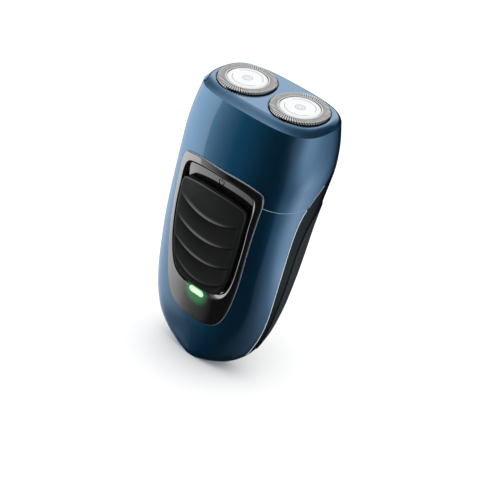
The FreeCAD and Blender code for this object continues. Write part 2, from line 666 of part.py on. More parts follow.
# ---------------------------------------------------------------- rear cover and grip
rear_solid = common("rear_solid", outer, rear_prism)
rear_a = cut("rear_a", rear_solid, inner)
grip_space = cut("grip_space", grip_prism, grip_in)
rear_b = cut("rear_b", rear_a, grip_space)
rear_c = cut("rear_c", rear_b, inlet_hole)
rboss = fuse("rear_bosses", [cyl_y("rboss_right", sx, sz, 2.6, 0.05, 20), cyl_y("rboss_left", -sx, sz, 2.6, 0.05, 20)])
rboss_in = common("rear_bosses_in", rboss, grip_in)
rear_d = fuse("rear_d", [rear_c, rboss_in])
rbore = fuse("rear_bores", [
    cyl_y("rbore_right", sx, sz, d("screw_r") + 0.05, 0, 20), cyl_y("rbore_left", -sx, sz, d("screw_r") + 0.05, 0, 20),
    cyl_y("rhead_right", sx, sz, 2.05, 5.0, 20), cyl_y("rhead_left", -sx, sz, 2.05, 5.0, 20)])
rear_cover = cut("rear_cover", rear_d, rbore)
grip_a = common("grip_a", grip_out, grip_prism)
rear_grip = cut("rear_grip", grip_a, grip_in)

screws = []
for side, name in ((1, "right"), (-1, "left")):
    x = sx if side > 0 else -sx
    screws.append(cyl_y("cscrew_shank_" + name, x, sz, d("screw_r"), -5.6, 5.05))
    screws.append(cyl_y("cscrew_head_" + name, x, sz, 1.9, 5.02, 6.3))
cover_screws = fuse("cover_screws", screws)

# ---------------------------------------------------------------- front panel
panel_plug = build("tool_panel_plug", "panel", [("pad", [("outline", PANEL, PANEL_TOP, PANEL_LOW, 0.0)], -8, 12)])
panel_skin_in = loft_form("form_panel_in", 1.8, 14.0, 106.0)
tub = build("tool_panel_tub", "panel", [("pad", [("outline", SLIDER, SLIDER_TOP, SLIDER_LOW, 1.5, 5.0)], d("track_floor") - d("track_skin"), 2.0)])
track = build("tool_panel_track", "panel", [
    ("pad", [("outline", SLIDER, SLIDER_TOP, SLIDER_LOW, 0.4, 5.0)], d("track_floor"), 8),
    ("pad", [("rect", -1.6, -5.4, 1.6, 9.9)], -7.0, d("track_floor") + 0.2),
])
led_hole = build("tool_led_hole", "panel", [("pad", [("race", d("led_half") - d("led_r"), d("led_r") + 0.04)], -8, 8)], shift_w=d("led_w"))
panel_a = common("panel_a", panel_form, panel_plug)
panel_b = cut("panel_b", panel_a, panel_skin_in)
tub_in = common("tub_in", panel_form, tub)
panel_c = fuse("panel_c", [panel_b, tub_in])
panel_d = cut("panel_d", panel_c, track)
front_panel = cut("front_panel", panel_d, led_hole)

# ---------------------------------------------------------------- thumb slider
slider_plug = build("tool_slider_plug", "panel", [("pad", [("outline", SLIDER, SLIDER_TOP, SLIDER_LOW, 0.0)], d("track_floor") + 0.1, 8)])
slider_a = common("slider_a", slide_form, slider_plug)
ridge_tools = []
for i, (w0, n0) in enumerate(((7.6, 1.75), (-1.6, 2.05), (-10.9, 1.75), (-20.2, 1.0))):
    # thumb scoops, each ending in a curved lip at its lower side
    arc = build("tool_hollow_%d" % i, "panel", [("pad", [("sector", 16.4, 20.0, 234, 306)], n0, 6)],
                shift_w=w0 + 20.0)
    ridge_tools.append(arc)
slider_post = build("tool_slider_post", "panel", [("pad", [("rect", -1.2, -5.0, 1.2, 5.0)], d("track_floor") - 1.3, d("track_floor") + 1.5)])
slider_b = fuse("slider_b", [slider_a, slider_post])
thumb_slider = cut("thumb_slider", slider_b, fuse("hollows", ridge_tools))

tf = d("track_floor")
slider_carrier = build("slider_carrier", "panel", [
    ("pad", [("rect", -6, -8, 6, 8)], tf - 2.4, tf - 1.3),
    ("pad", [("rect", -2.4, -2.6, 2.4, 2.6)], tf - 3.6, tf - 2.4),
    ("cut", [("rect", -1.2, -1.4, 1.2, 1.4)], tf - 3.6, tf - 2.4),
])
bf = d("board_front")
switch_knob = build("switch_knob", "panel", [
    ("pad", [("rect", -1.15, -1.35, 1.15, 1.35)], bf + 1.8, tf - 2.4),
])
switch_housing = build("switch_housing", "panel", [
    ("pad", [("rect", -2.6, -4.5, 2.6, 9.0)], bf, bf + 2.9),
    ("cut", [("rect", -1.3, -1.6, 1.3, 6.2)], bf + 1.6, bf + 2.9),
])

# ---------------------------------------------------------------- board and light
circuit_board = build("circuit_board", "panel", [
    ("pad", [("rect", -15.5, -32.5, 15.5, 13.5)], bf - d("board_thick"), bf),
    ("cut", [("circle", -12.5, 10.5, 1.1), ("circle", 12.5, 10.5, 1.1), ("circle", -12.5, -29.5, 1.1), ("circle", 12.5, -29.5, 1.1)], bf - d("board_thick") - 1, bf),
])
board_components = fuse("board_components", [
    build("comp_coil", "panel", [("pad", [("rect", -12, -19, -3, -11)], bf, bf + 3.4)]),
    build("comp_cap", "panel", [("pad", [("circle", 8.0, -14.5, 2.5)], bf, bf + 3.6)]),
    build("comp_chip", "panel", [("pad", [("rect", 6.0, -6.0, 11.0, 0.0)], bf, bf + 1.4)]),
    build("comp_diode", "panel", [("pad", [("rect", -11.0, -5.0, -7.0, -2.5)], bf, bf + 1.6)]),
    build("comp_diode_two", "panel", [("pad", [("rect", -11.0, 0.0, -7.0, 2.5)], bf, bf + 1.6)]),
    build("comp_cap_two", "panel", [("pad", [("circle", 11.0, 5.5, 2.0)], bf, bf + 3.2)]),
])
lw = d("led_w")
charging_led = build("charging_led", "panel", [("pad", [("rect", -1.6, lw - 0.8, 1.6, lw + 0.8)], bf, bf + 1.1)])
led_pipe_form = build("tool_led_pipe", "panel", [("pad", [("race", d("led_half") - d("led_r"), d("led_r"))], bf + 1.2, 6)],
                      shift_w=d("led_w"))
led_light_pipe = common("led_light_pipe", led_pipe_form, panel_form)

# ---------------------------------------------------------------- chassis
dz = d("deck_z")
slab_flange = box("slab_flange", -40, 40, -40, 40, dz - 38.5, dz - 36.5)
slab_collar = box("slab_collar", -40, 40, -40, 40, dz - 38.5, dz - 30.5)
slab_tower = box("slab_tower", -40, 40, -40, 40, dz - 38.5, dz)
slab_tower_in = box("slab_tower_in", -40, 40, -40, 40, dz - 36.5, dz)
flange = common("flange", fit, slab_flange)
collar = cut("collar", common("collar_a", fit, slab_collar), fit_in)
tower_a = common("tower_a", build("tool_tower", "deck", [("pad", [("race", half, d("frame_r"))], -44.0, d("plate_low"))]), slab_tower)
tower = common("tower", tower_a, fit)
tower_in = common("tower_in", build("tool_tower_in", "deck", [("pad", [("race", half, d("box_in_r"))], -44.0, d("plate_low") + 1)]), slab_tower_in)
motor_hole = build("tool_motor_hole", "deck", [("pad", [("rect", -8.5, -6.7, 8.5, 6.7)], -60, -22)])
ribs = fuse("ribs", [
    box("rib_right", 8.6, 10.6, -2.4, 9.5, dz - 87.0, dz - 38.5), box("rib_left", -10.6, -8.6, -2.4, 9.5, dz - 87.0, dz - 38.5),
    box("rib_floor", -23.5, 23.5, -2.0, 9.5, dz - 87.0, dz - 85.2)])
ribs_in = common("ribs_in", ribs, fit)
chassis_a = fuse("chassis_a", [flange, collar, tower, ribs_in])
chassis_b = cut("chassis_b", chassis_a, tower_in)
chassis_c = cut("chassis_c", chassis_b, motor_hole)
collar_gap = box("collar_gap", -21.2, 21.2, -30, -12.6, dz - 39, dz - 28)
strap_window = box("strap_window", -13, 13, 1.3, 5.7, dz - 85.15, dz - 84.4)
chassis = cut("chassis", cut("chassis_d", chassis_c, collar_gap), strap_window)

# ---------------------------------------------------------------- gearbox
gear_plate = build("gear_plate", "deck", [
    ("pad", [("race", half, d("frame_r"))], d("plate_low"), d("plate_top")),
    ("cut", [("circle", -half, 0, d("gear_foot_r") + d("run_fit")), ("circle", half, 0, d("gear_foot_r") + d("run_fit")),
             ("circle", 0, 0, 3.05), ("circle", 0, d("box_screw_y"), d("screw_r") + 0.02), ("circle", 0, -d("box_screw_y"), d("screw_r") + 0.02)],
     d("plate_low"), d("plate_top")),
])
gear_cover = build("gear_cover", "deck", [
    ("pad", [("race", half, d("frame_r"))], d("plate_top"), d("cover_top")),
    ("cut", [("race", half, d("box_in_r"))], d("plate_top") - 1, d("cover_low")),
    ("pad", [("circle", 0, d("box_screw_y"), 2.3)], d("plate_top"), d("cover_low") + 0.2),
    ("pad", [("circle", 0, -d("box_screw_y"), 2.3)], d("plate_top"), d("cover_low") + 0.2),
    ("cut", [("circle", -half, 0, d("gear_hub_r") + d("run_fit")), ("circle", half, 0, d("gear_hub_r") + d("run_fit"))], d("cover_low") - 0.1, d("cover_top") + 1),
    ("cut", [("circle", 0, d("box_screw_y"), d("screw_r") + 0.02), ("circle", 0, -d("box_screw_y"), d("screw_r") + 0.02)], d("plate_top") - 1, d("cover_top") + 1),
])
gs = []
for side, nm in ((1, "rear"), (-1, "front")):
    y = d("box_screw_y") * side
    gs.append(build("gscrew_" + nm, "deck", [
        ("pad", [("circle", 0, y, d("screw_r"))], d("plate_low") + 0.3, d("cover_top")),
        ("pad", [("circle", 0, y, 1.9)], d("cover_top"), d("cover_top") + 1.1),
        ("cut", [("rect", -1.3, y - 0.22, 1.3, y + 0.22)], d("cover_top") + 0.5, d("cover_top") + 1.1),
    ]))
gearbox_screws = fuse("gearbox_screws", gs)


# ---------------------------------------------------------------- gears
def gear_profile(sk, teeth, module, start, backlash, alpha=25.0, add=1.0, ded=1.25):
    """Closed involute tooth outline; each flank is a three-point arc on the involute."""
    rp = teeth * module / 2.0
    rb = rp * math.cos(math.radians(alpha))
    ra, rf = rp + add * module, rp - ded * module
    inv = lambda r: math.tan(math.acos(min(1.0, rb / r))) - math.acos(min(1.0, rb / r))
    half_tooth = math.pi / (2 * teeth) - backlash / (2 * rp)
    r_low = max(rb, rf) + 1e-4

    def ang(r):
        return half_tooth + inv(rp) - inv(r)
    rm = (r_low + ra) / 2
    segs = []
    pt = lambda r, t: Vector(r * math.cos(t), r * math.sin(t), 0)
    for k in range(teeth):
        c = 2 * math.pi * k / teeth + start
        up0, up1, up2 = pt(r_low, c - ang(r_low)), pt(rm, c - ang(rm)), pt(ra, c - ang(ra))
        dn0, dn1, dn2 = pt(ra, c + ang(ra)), pt(rm, c + ang(rm)), pt(r_low, c + ang(r_low))
        if r_low > rf + 1e-3:
            segs.append(("l", pt(rf, c - ang(r_low)), up0))
        segs.append(("a", up0, up1, up2))
        segs.append(("l", up2, dn0))
        segs.append(("a", dn0, dn1, dn2))
        last = dn2
        if r_low > rf + 1e-3:
            last = pt(rf, c + ang(r_low))
            segs.append(("l", dn2, last))
        c2 = c + 2 * math.pi / teeth
        nxt = pt(rf if r_low > rf + 1e-3 else r_low, c2 - ang(r_low))
        segs.append(("l", last, nxt))
    for s in segs:
        if s[0] == "l":
            sk.addGeometry(Part.LineSegment(s[1], s[2]), False)
        else:
            arc = Part.Arc(s[1], s[2], s[3])
            sk.addGeometry(arc, False)


def gear_pad(body, teeth, start, low, high):
    sk = new_sketch(body, "XY_Plane", low)
    gear_profile(sk, int(RAW[teeth]), RAW["gear_module"], start, RAW["gear_backlash"])
    f = body.newObject("PartDesign::Pad", "teeth_" + body.Name)
    f.Profile = sk
    length = dim(high) - dim(low)
    f.Length = length.value
    bind(f, "Length", length)


for side, nm in ((1, "right"), (-1, "left")):
    b = new_body("drive_gear_" + nm, "deck", half * side)
    gear_pad(b, "gear_teeth", math.pi / RAW["gear_teeth"], d("gear_low"), d("gear_top"))
    op_pad(b, [("circle", 0, 0, d("gear_hub_r"))], d("gear_top") - 0.1, -13.4)
    op_pad(b, [("circle", 0, 0, d("gear_foot_r"))], -22.0, d("gear_low") + 0.1)
    op_cut(b, [("hex", 0, 0, d("hex_bore_af"))], -30, 0)
pinion = new_body("pinion", "deck")
gear_pad(pinion, "pinion_teeth", 0.0, -19.5, -16.4)
op_cut(pinion, [("circle", 0, 0, d("shaft_r"))], -25, 0)

# ---------------------------------------------------------------- motor
motor_can = build("motor_can", "deck", [
    ("pad", [("flatround", d("motor_r"), d("motor_flat"))], d("motor_low"), d("plate_low")),
    ("cut", [("flatround", d("motor_r") - 0.6, d("motor_flat") - 0.6)], d("motor_low") - 1, d("plate_low") - 0.7),
    ("pad", [("circle", 0, 0, 3.0)], d("plate_low") - 0.1, -21.0),
    ("cut", [("circle", 0, 0, d("shaft_r") + d("run_fit"))], -30, -20),
])
motor_end_cap = build("motor_end_cap", "deck", [
    ("pad", [("flatround", d("motor_r"), d("motor_flat"))], d("motor_cap_low"), d("motor_low")),
    ("cut", [("circle", 0, 0, d("shaft_r") + d("run_fit"))], -46, -42),
])
motor_terminals = fuse("motor_terminals", [
    build("terminal_right", "deck", [("pad", [("rect", 3.4, -0.9, 3.9, 0.9)], d("motor_cap_low") - 2.6, d("motor_cap_low"))]),
    build("terminal_left", "deck", [("pad", [("rect", -3.9, -0.9, -3.4, 0.9)], d("motor_cap_low") - 2.6, d("motor_cap_low"))]),
])
motor_magnets = fuse("motor_magnets", [
    build("magnet_right", "deck", [("pad", [("sector", 4.9, 6.9, -48, 48)], -40.0, -25.5)]),
    build("magnet_left", "deck", [("pad", [("sector", 4.9, 6.9, 132, 228)], -40.0, -25.5)]),
])
motor_shaft = build("motor_shaft", "deck", [("pad", [("circle", 0, 0, d("shaft_r"))], -44.6, -16.0)])
motor_rotor = build("motor_rotor", "deck", [
    ("pad", [("circle", 0, 0, 4.4)], -39.5, -26.0),
    ("pad", [("circle", 0, 0, 2.2)], -42.4, -39.4),
    ("cut", [("rect", 1.9, -0.35, 5, 0.35)], -50, -26.0),
    ("cut", [("circle", 0, 0, d("shaft_r"))], -50, -20),
])

# ---------------------------------------------------------------- cells
cell_top = dz - d("cell_top_q")
for side, nm in ((1, "right"), (-1, "left")):
    body = doc.addObject("PartDesign::Body", "battery_cell_" + nm)
    body.Label = "battery_cell_" + nm
    body.Placement = Placement(Vector(side * RAW["cell_x"], RAW["cell_y"], RAW["deck_z"] - RAW["cell_top_q"] - RAW["cell_len"]), Rotation())
    body.setExpression("Placement.Base.x", "dims.cell_x * %d" % side)
    body.setExpression("Placement.Base.y", "dims.cell_y")
    body.setExpression("Placement.Base.z", "dims.deck_z - dims.cell_top_q - dims.cell_len")
    L = d("cell_len")
    R = d("cell_r")
    op_rev(body, [(0, 0), (R - 0.5, 0), (R, 0.5), (R, L - 1.5), (R - 0.7, L - 0.9), (2.2, L - 0.9), (2.0, L), (0, L)])
cell_straps = fuse("cell_straps", [
    box("strap_low", -19.5, 19.5, 1.5, 5.5, dz - 85.0, dz - d("cell_top_q") - L - 1.0),
    box("strap_low_right", 15.2, 19.2, 1.5, 5.5, dz - 85.05, dz - d("cell_top_q") - L),
    box("strap_low_left", -19.2, -15.2, 1.5, 5.5, dz - 85.05, dz - d("cell_top_q") - L),
])

# ---------------------------------------------------------------- guards and cutters
gr, gt = d("guard_r"), d("guard_top")
gi = gr - d("guard_wall")
ti = d("track_in_r")
for side, nm in ((-1, "left"), (1, "right")):
    b = new_body("guard_" + nm, "deck", half * side)
    op_rev(b, [(0, d("stub_low")), (d("stub_r"), d("stub_low")), (d("stub_r"), 0), (ti + 0.3, 0), (ti + 0.3, gt - d("guard_skin")),
               (gi, gt - d("guard_skin")), (gi, d("guard_low")), (d("flange_r"), d("guard_low")), (d("flange_r"), d("flange_top")),
               (gr, d("flange_top")), (gr, gt - 0.55), (gr - 0.15, gt - 0.2), (gr - 0.45, gt), (ti, gt), (ti, 0.3), (0, 0.3)])
    sk = new_sketch(b, "XZ_Plane", 3.2)
    add_poly(sk, [(7.85, 0.55), (7.85, 2.0), (12.0, 2.0), (12.0, -0.35), (10.78, -0.35), (10.78, 0.55)])
    slot = b.newObject("PartDesign::Pocket", "slot_" + b.Name)
    slot.Profile = sk
    slot.Midplane = True
    slot.Length = RAW["slot_width"]
    slot.setExpression("Length", "dims.slot_width")
    op_polar(b, slot, d("slot_count"))
    dr, dt = d("disc_r"), d("disc_top")
    b = new_body("guard_disc_" + nm, "deck", half * side)
    op_rev(b, [(0, 0.3), (dr, 0.3), (dr, dt - 0.2), (dr - 0.25, dt), (dr - 0.6, dt), (dr - 0.65, dt - 0.08), (dr - 0.95, dt - 0.08), (dr - 1.0, dt), (0, dt)])
    b = new_body("cutter_" + nm, "deck", half * side)
    cr = d("cutter_r")
    op_rev(b, [(6.2, d("cutter_ring_low")), (cr, d("cutter_ring_low")), (cr, d("cutter_ring_top")), (6.2, d("cutter_ring_top"))])
    sk = new_sketch(b, "XY_Plane", d("cutter_ring_top") - 0.1)
    add_poly(sk, [(8.8, -0.25), (11.0, 0.15), (10.95, 0.65), (8.75, 0.25)])
    blade = b.newObject("PartDesign::Pad", "blade_" + b.Name)
    blade.Profile = sk
    ln = d("blade_top") - d("cutter_ring_top") + 0.1
    blade.Length = ln.value
    bind(blade, "Length", ln)
    op_polar(b, blade, d("blade_count"))
    b = new_body("cutter_carrier_" + nm, "deck", half * side)
    op_rev(b, [(0, d("hub_low")), (d("hub_r"), d("hub_low")), (d("hub_r"), d("carrier_low")), (d("carrier_r"), d("carrier_low")),
               (d("carrier_r"), d("cutter_ring_low")), (2.6, d("cutter_ring_low")), (2.6, -0.4), (0, -0.4)])
    op_cut(b, [("circle", 0, 0, d("stub_r") + d("run_fit"))], -2.3, 1.0)
    sk = new_sketch(b, "XY_Plane", d("socket_top"))
    add_hex(sk, 0, 0, d("hex_bore_af"))
    pk = b.newObject("PartDesign::Pocket", "socket_" + b.Name)
    pk.Profile = sk
    pk.Length = 6.0
    b = new_body("coupling_spindle_" + nm, "deck", half * side)
    op_pad(b, [("hex", 0, 0, d("hex_af"))], d("spindle_low"), d("spindle_top"))
    op_pad(b, [("circle", 0, 0, 2.65)], -9.0, -8.2)

# ---------------------------------------------------------------- spindle springs
for side, nm in ((-1, "left"), (1, "right")):
    hx = doc.addObject("Part::Helix", "helix_" + nm)
    hx.Radius = RAW["spring_r"]
    hx.setExpression("Radius", "dims.spring_r")
    hx.Pitch = 0.95
    hx.Height = 3.8
    wire_r = RAW["spring_wire"] / 2
    circ = doc.addObject("Part::RegularPolygon", "wire_" + nm)
    circ.Polygon = 8
    circ.Circumradius = wire_r
    circ.setExpression("Circumradius", "dims.spring_wire / 2")
    circ.Placement = Placement(Vector(RAW["spring_r"], 0, 0), Rotation(Vector(1, 0, 0), 90))
    sw = doc.addObject("Part::Sweep", "spindle_spring_" + nm)
    sw.Sections = [circ]
    sw.Spine = (hx, [])
    sw.Solid = True
    sw.Frenet = True
    sw.Label = "spindle_spring_" + nm
    sw.Placement = DECK_P.multiply(Placement(Vector(side * RAW["head_pitch"] / 2, 0, -13.15), Rotation()))

# ---------------------------------------------------------------- retaining frame and its lock
retaining_frame = build("retaining_frame", "deck", [
    ("pad", [("race", half, d("frame_r"))], d("frame_low"), d("frame_top")),
    ("cut", [("circle", -half, 0, d("frame_hole_r")), ("circle", half, 0, d("frame_hole_r")),
             ("circle", 0, d("post_y"), d("post_r") + 0.1), ("circle", 0, -d("post_y"), d("post_r") + 0.1)], d("frame_low") - 1, d("frame_top") + 1),
    ("pad", [("circle", 0, 0, d("pivot_r"))], -8.2, d("frame_low") + 0.1),
])
lock = new_body("frame_lock", "deck")
sk = new_sketch(lock, "XY_Plane", -7.05)
sk.addGeometry(Part.Ellipse(Vector(0, 8.2, 0), Vector(4.6, 0, 0), Vector(0, 0, 0)), False)
f = lock.newObject("PartDesign::Pad", "cam_lock")
f.Profile = sk
f.Length = 0.9
op_pad(lock, [("rect", -1.3, -5.5, 1.3, 5.5)], -10.2, -7.0)
op_cut(lock, [("circle", 0, 0, d("pivot_r") + d("run_fit"))], -8.4, 0)

# ---------------------------------------------------------------- charging inlet
inlet_socket = build("inlet_socket", "world", [
    ("pad", [("rect", -d("inlet_x"), d("inlet_y_front"), d("inlet_x"), d("inlet_y_back"))], 0.25, d("inlet_top")),
    ("cut", [("rect", -d("inlet_open_x"), -1.0 - d("inlet_open_y"), d("inlet_open_x"), d("inlet_open_y") - 1.0)], -1, d("inlet_depth")),
    ("cut", [("circle", -d("pin_pitch") / 2, -1.0, d("pin_r")), ("circle", d("pin_pitch") / 2, -1.0, d("pin_r"))], 8, 14),
])
inlet_pins = fuse("inlet_pins", [
    build("pin_right", "world", [("pad", [("circle", d("pin_pitch") / 2, -1.0, d("pin_r"))], 4.6, 14.0)]),
    build("pin_left", "world", [("pad", [("circle", -d("pin_pitch") / 2, -1.0, d("pin_r"))], 4.6, 14.0)]),
])


# ---------------------------------------------------------------- leads
def lead(name, pts, r=0.55, bend=2.0):
    """Wire of straight runs joined by tangent arcs."""
    vs = [Vector(*p) for p in pts]
    edges = []
    start = vs[0]
    for i in range(1, len(vs) - 1):
        a, b, c = vs[i - 1], vs[i], vs[i + 1]
        u, v = (a - b).normalize(), (c - b).normalize()
        ang = math.acos(max(-1, min(1, u.dot(v))))
        t = bend / math.tan(ang / 2)
        p, q = b + u * t, b + v * t
        mid = (u + v).normalize()
        centre = b + mid * (bend / math.sin(ang / 2))
        m = centre - mid * bend
        edges.append(Part.LineSegment(start, p).toShape())
        edges.append(Part.Arc(p, m, q).toShape())
        start = q
    edges.append(Part.LineSegment(start, vs[-1]).toShape())
    wire = Part.Wire(edges)
    prof = Part.Wire([Part.Circle(vs[0], (vs[1] - vs[0]).normalize(), r).toShape()])
    solid = wire.makePipeShell([prof], True, False)
    return solid


def deck_pt(x, y, z):
    v = DECK_P.multVec(Vector(x, y, z))
    return (v.x, v.y, v.z)


def panel_pt(x, w, n):
    v = PANEL_P.multVec(Vector(x, w, n))
    return (v.x, v.y, v.z)


leads = []
for side in (1, -1):
    p0 = deck_pt(side * 3.65, 0, RAW["motor_cap_low"] - 2.7)
    p3 = panel_pt(side * 5.0, -8.0, RAW["board_front"] - RAW["board_thick"] - 0.02)
    p1 = (p0[0], p0[1] - 0.4, p0[2] - 5.0)
    p2 = (p3[0], p3[1] + 3.5, p3[2] + 0.6)
    leads.append(lead("lead", [p0, p1, p2, p3], 0.5, 1.6))
motor_leads = doc.addObject("Part::Feature", "motor_leads")
motor_leads.Label = "motor_leads"
motor_leads.Shape = Part.makeCompound(leads)

# ---------------------------------------------------------------- check and write
NODES = ["head_shell", "body_shell", "rear_cover", "rear_grip", "front_panel", "thumb_slider", "slider_carrier",
         "switch_knob", "switch_housing", "circuit_board", "board_components", "charging_led", "led_light_pipe",
         "chassis", "gear_plate", "gear_cover", "gearbox_screws", "drive_gear_right", "drive_gear_left", "pinion",
         "motor_can", "motor_end_cap", "motor_terminals", "motor_magnets", "motor_shaft", "motor_rotor",
         "battery_cell_right", "battery_cell_left", "cell_straps", "guard_left", "guard_right", "guard_disc_left",
         "guard_disc_right", "cutter_left", "cutter_right", "cutter_carrier_left", "cutter_carrier_right",
         "coupling_spindle_left", "coupling_spindle_right", "spindle_spring_left", "spindle_spring_right",
         "retaining_frame", "frame_lock", "inlet_socket", "inlet_pins", "cover_screws", "motor_leads"]

doc.recompute()
bad = []
for obj in doc.Objects:
    if "Invalid" in obj.State or "Error" in obj.State:
        bad.append("%s %s" % (obj.Name, obj.State))
for name in NODES:
    obj = doc.getObject(name)
    if obj is None or obj.Shape.isNull():
        bad.append(name + " has no shape")
        continue
    if not obj.Shape.isValid():
        bad.append(name + " invalid")
    if not obj.Shape.Solids:
        bad.append(name + " has no solid")
if bad:
    raise RuntimeError("; ".join(bad))

os.makedirs("parts", exist_ok=True)
for name in NODES:
    obj = doc.getObject(name)
    shape = obj.Shape
    bb = shape.BoundBox
    print("%-24s solids %d faces %4d vol %9.1f  x %.1f..%.1f y %.1f..%.1f z %.1f..%.1f" % (
        name, len(shape.Solids), len(shape.Faces), shape.Volume, bb.XMin, bb.XMax, bb.YMin, bb.YMax, bb.ZMin, bb.ZMax))
    shape.exportStep("parts/%s.step" % name)
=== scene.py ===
import bpy, json, math
from mathutils import Matrix, Vector


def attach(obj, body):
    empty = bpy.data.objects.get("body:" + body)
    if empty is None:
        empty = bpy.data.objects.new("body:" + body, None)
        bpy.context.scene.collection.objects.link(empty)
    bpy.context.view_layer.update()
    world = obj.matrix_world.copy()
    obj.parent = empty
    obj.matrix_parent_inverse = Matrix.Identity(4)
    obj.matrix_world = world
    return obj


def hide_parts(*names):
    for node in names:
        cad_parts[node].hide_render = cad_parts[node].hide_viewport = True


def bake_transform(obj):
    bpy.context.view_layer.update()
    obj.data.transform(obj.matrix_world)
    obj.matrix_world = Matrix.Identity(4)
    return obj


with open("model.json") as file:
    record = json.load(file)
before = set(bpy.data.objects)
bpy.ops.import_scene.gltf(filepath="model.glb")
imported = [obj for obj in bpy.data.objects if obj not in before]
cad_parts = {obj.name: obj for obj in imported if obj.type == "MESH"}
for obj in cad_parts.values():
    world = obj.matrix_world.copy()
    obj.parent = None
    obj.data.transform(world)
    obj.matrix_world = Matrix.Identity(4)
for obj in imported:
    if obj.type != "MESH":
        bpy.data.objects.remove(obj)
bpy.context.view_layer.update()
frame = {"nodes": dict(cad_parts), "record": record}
N = frame["nodes"]
scene = bpy.context.scene
scene.view_settings.view_transform = "Standard"
scene.view_settings.look = "None"

MM = 0.001


# ---------------------------------------------------------------- frames of the object
def rot_x(deg):
    return Matrix.Rotation(math.radians(deg), 4, "X")


DECK = Matrix.Translation((0, 0, 113.5 * MM)) @ rot_x(9.0)          # shaving deck, z up out of the deck
PANEL = Matrix.Translation((0, -17.1 * MM, 57.5 * MM)) @ rot_x(95.5)  # front panel, y up the panel, z outward


# ---------------------------------------------------------------- materials
def principled(name, color, rough=0.5, metal=0.0, coat=0.0, coat_rough=0.03, spec=0.5, alpha=1.0, sheen=0.0):
    m = bpy.data.materials.new(name)
    m.use_nodes = True
    b = m.node_tree.nodes["Principled BSDF"]
    b.inputs["Base Color"].default_value = (*color, 1)
    b.inputs["Roughness"].default_value = rough
    b.inputs["Metallic"].default_value = metal
    b.inputs["Coat Weight"].default_value = coat
    b.inputs["Coat Roughness"].default_value = coat_rough
    b.inputs["Specular IOR Level"].default_value = spec
    b.inputs["Sheen Weight"].default_value = sheen
    return m, m.node_tree, b


def noise_bump(nt, b, scale, strength, distance=0.00005, detail=4.0):
    tc = nt.nodes.new("ShaderNodeTexCoord")
    nz = nt.nodes.new("ShaderNodeTexNoise")
    nz.inputs["Scale"].default_value = scale
    nz.inputs["Detail"].default_value = detail
    bp = nt.nodes.new("ShaderNodeBump")
    bp.inputs["Strength"].default_value = strength
    bp.inputs["Distance"].default_value = distance
    nt.links.new(tc.outputs["Object"], nz.inputs["Vector"])
    nt.links.new(nz.outputs["Fac"], bp.inputs["Height"])
    nt.links.new(bp.outputs["Normal"], b.inputs["Normal"])
    return tc, nz, bp


MAT = {}


def make(key, *a, **k):
    m, nt, b = principled(key, *a, **k)
    MAT[key] = m
    return m, nt, b


def detail(key, scale, spread, rough_lo, rough_hi, bump=0.0, bump_scale=None, stretch=(1.0, 1.0, 1.0), distance=0.00005):
    """Uneven colour and roughness over a surface, with a fine relief, about the colour the material has."""
    m = MAT[key]
    nt = m.node_tree
    b = nt.nodes["Principled BSDF"]
    col = b.inputs["Base Color"].default_value[:3]
    tc = nt.nodes.new("ShaderNodeTexCoord")
    mp = nt.nodes.new("ShaderNodeMapping")
    mp.inputs["Scale"].default_value = stretch
    nz = nt.nodes.new("ShaderNodeTexNoise")
    nz.inputs["Scale"].default_value = scale
    nz.inputs["Detail"].default_value = 3.0
    nt.links.new(tc.outputs["Object"], mp.inputs["Vector"])
    nt.links.new(mp.outputs["Vector"], nz.inputs["Vector"])
    rp = nt.nodes.new("ShaderNodeValToRGB")
    els = rp.color_ramp.elements
    els[0].position, els[0].color = 0.3, tuple(c * (1 - spread) for c in col) + (1,)
    els[1].position, els[1].color = 0.7, tuple(min(c * (1 + spread), 1.0) for c in col) + (1,)
    nt.links.new(nz.outputs["Fac"], rp.inputs[0])
    nt.links.new(rp.outputs["Color"], b.inputs["Base Color"])
    mr = nt.nodes.new("ShaderNodeMapRange")
    mr.inputs["From Min"].default_value = 0.3
    mr.inputs["From Max"].default_value = 0.7
    mr.inputs["To Min"].default_value = rough_lo
    mr.inputs["To Max"].default_value = rough_hi
    nt.links.new(nz.outputs["Fac"], mr.inputs["Value"])
    nt.links.new(mr.outputs["Result"], b.inputs["Roughness"])
    if bump > 0:
        n2 = nt.nodes.new("ShaderNodeTexNoise")
        n2.inputs["Scale"].default_value = bump_scale or scale * 3
        n2.inputs["Detail"].default_value = 2.0
        bp = nt.nodes.new("ShaderNodeBump")
        bp.inputs["Strength"].default_value = bump
        bp.inputs["Distance"].default_value = distance
        nt.links.new(mp.outputs["Vector"], n2.inputs["Vector"])
        nt.links.new(n2.outputs["Fac"], bp.inputs["Height"])
        nt.links.new(bp.outputs["Normal"], b.inputs["Normal"])
    return nt, b, tc


make("shell_blue", (0.0072, 0.059, 0.124), rough=0.31, metal=0.9, coat=1.0, coat_rough=0.012, spec=0.0)
# metallic flake in the lacquer: fine, faint grains of lighter and darker blue
nt, b, tc = detail("shell_blue", 9000.0, 0.16, 0.29, 0.33)
b.inputs["Specular Tint"].default_value = (0.40, 0.60, 0.86, 1)
b.inputs["Coat IOR"].default_value = 1.46
make("cover_black", (0.0026, 0.0028, 0.0029), rough=0.22, spec=0.03)
detail("cover_black", 700.0, 0.25, 0.19, 0.25, bump=0.04, bump_scale=3200.0)
make("grip_rubber", (0.0105, 0.0108, 0.0115), rough=0.62, spec=0.22)
detail("grip_rubber", 1300.0, 0.16, 0.50, 0.66, bump=0.7, bump_scale=2300.0, distance=0.00008)
m, nt, b = make("panel_black", (0.0026, 0.0027, 0.0028), rough=0.07, spec=0.75, coat=1.0, coat_rough=0.02)
detail("panel_black", 260.0, 0.2, 0.055, 0.085)
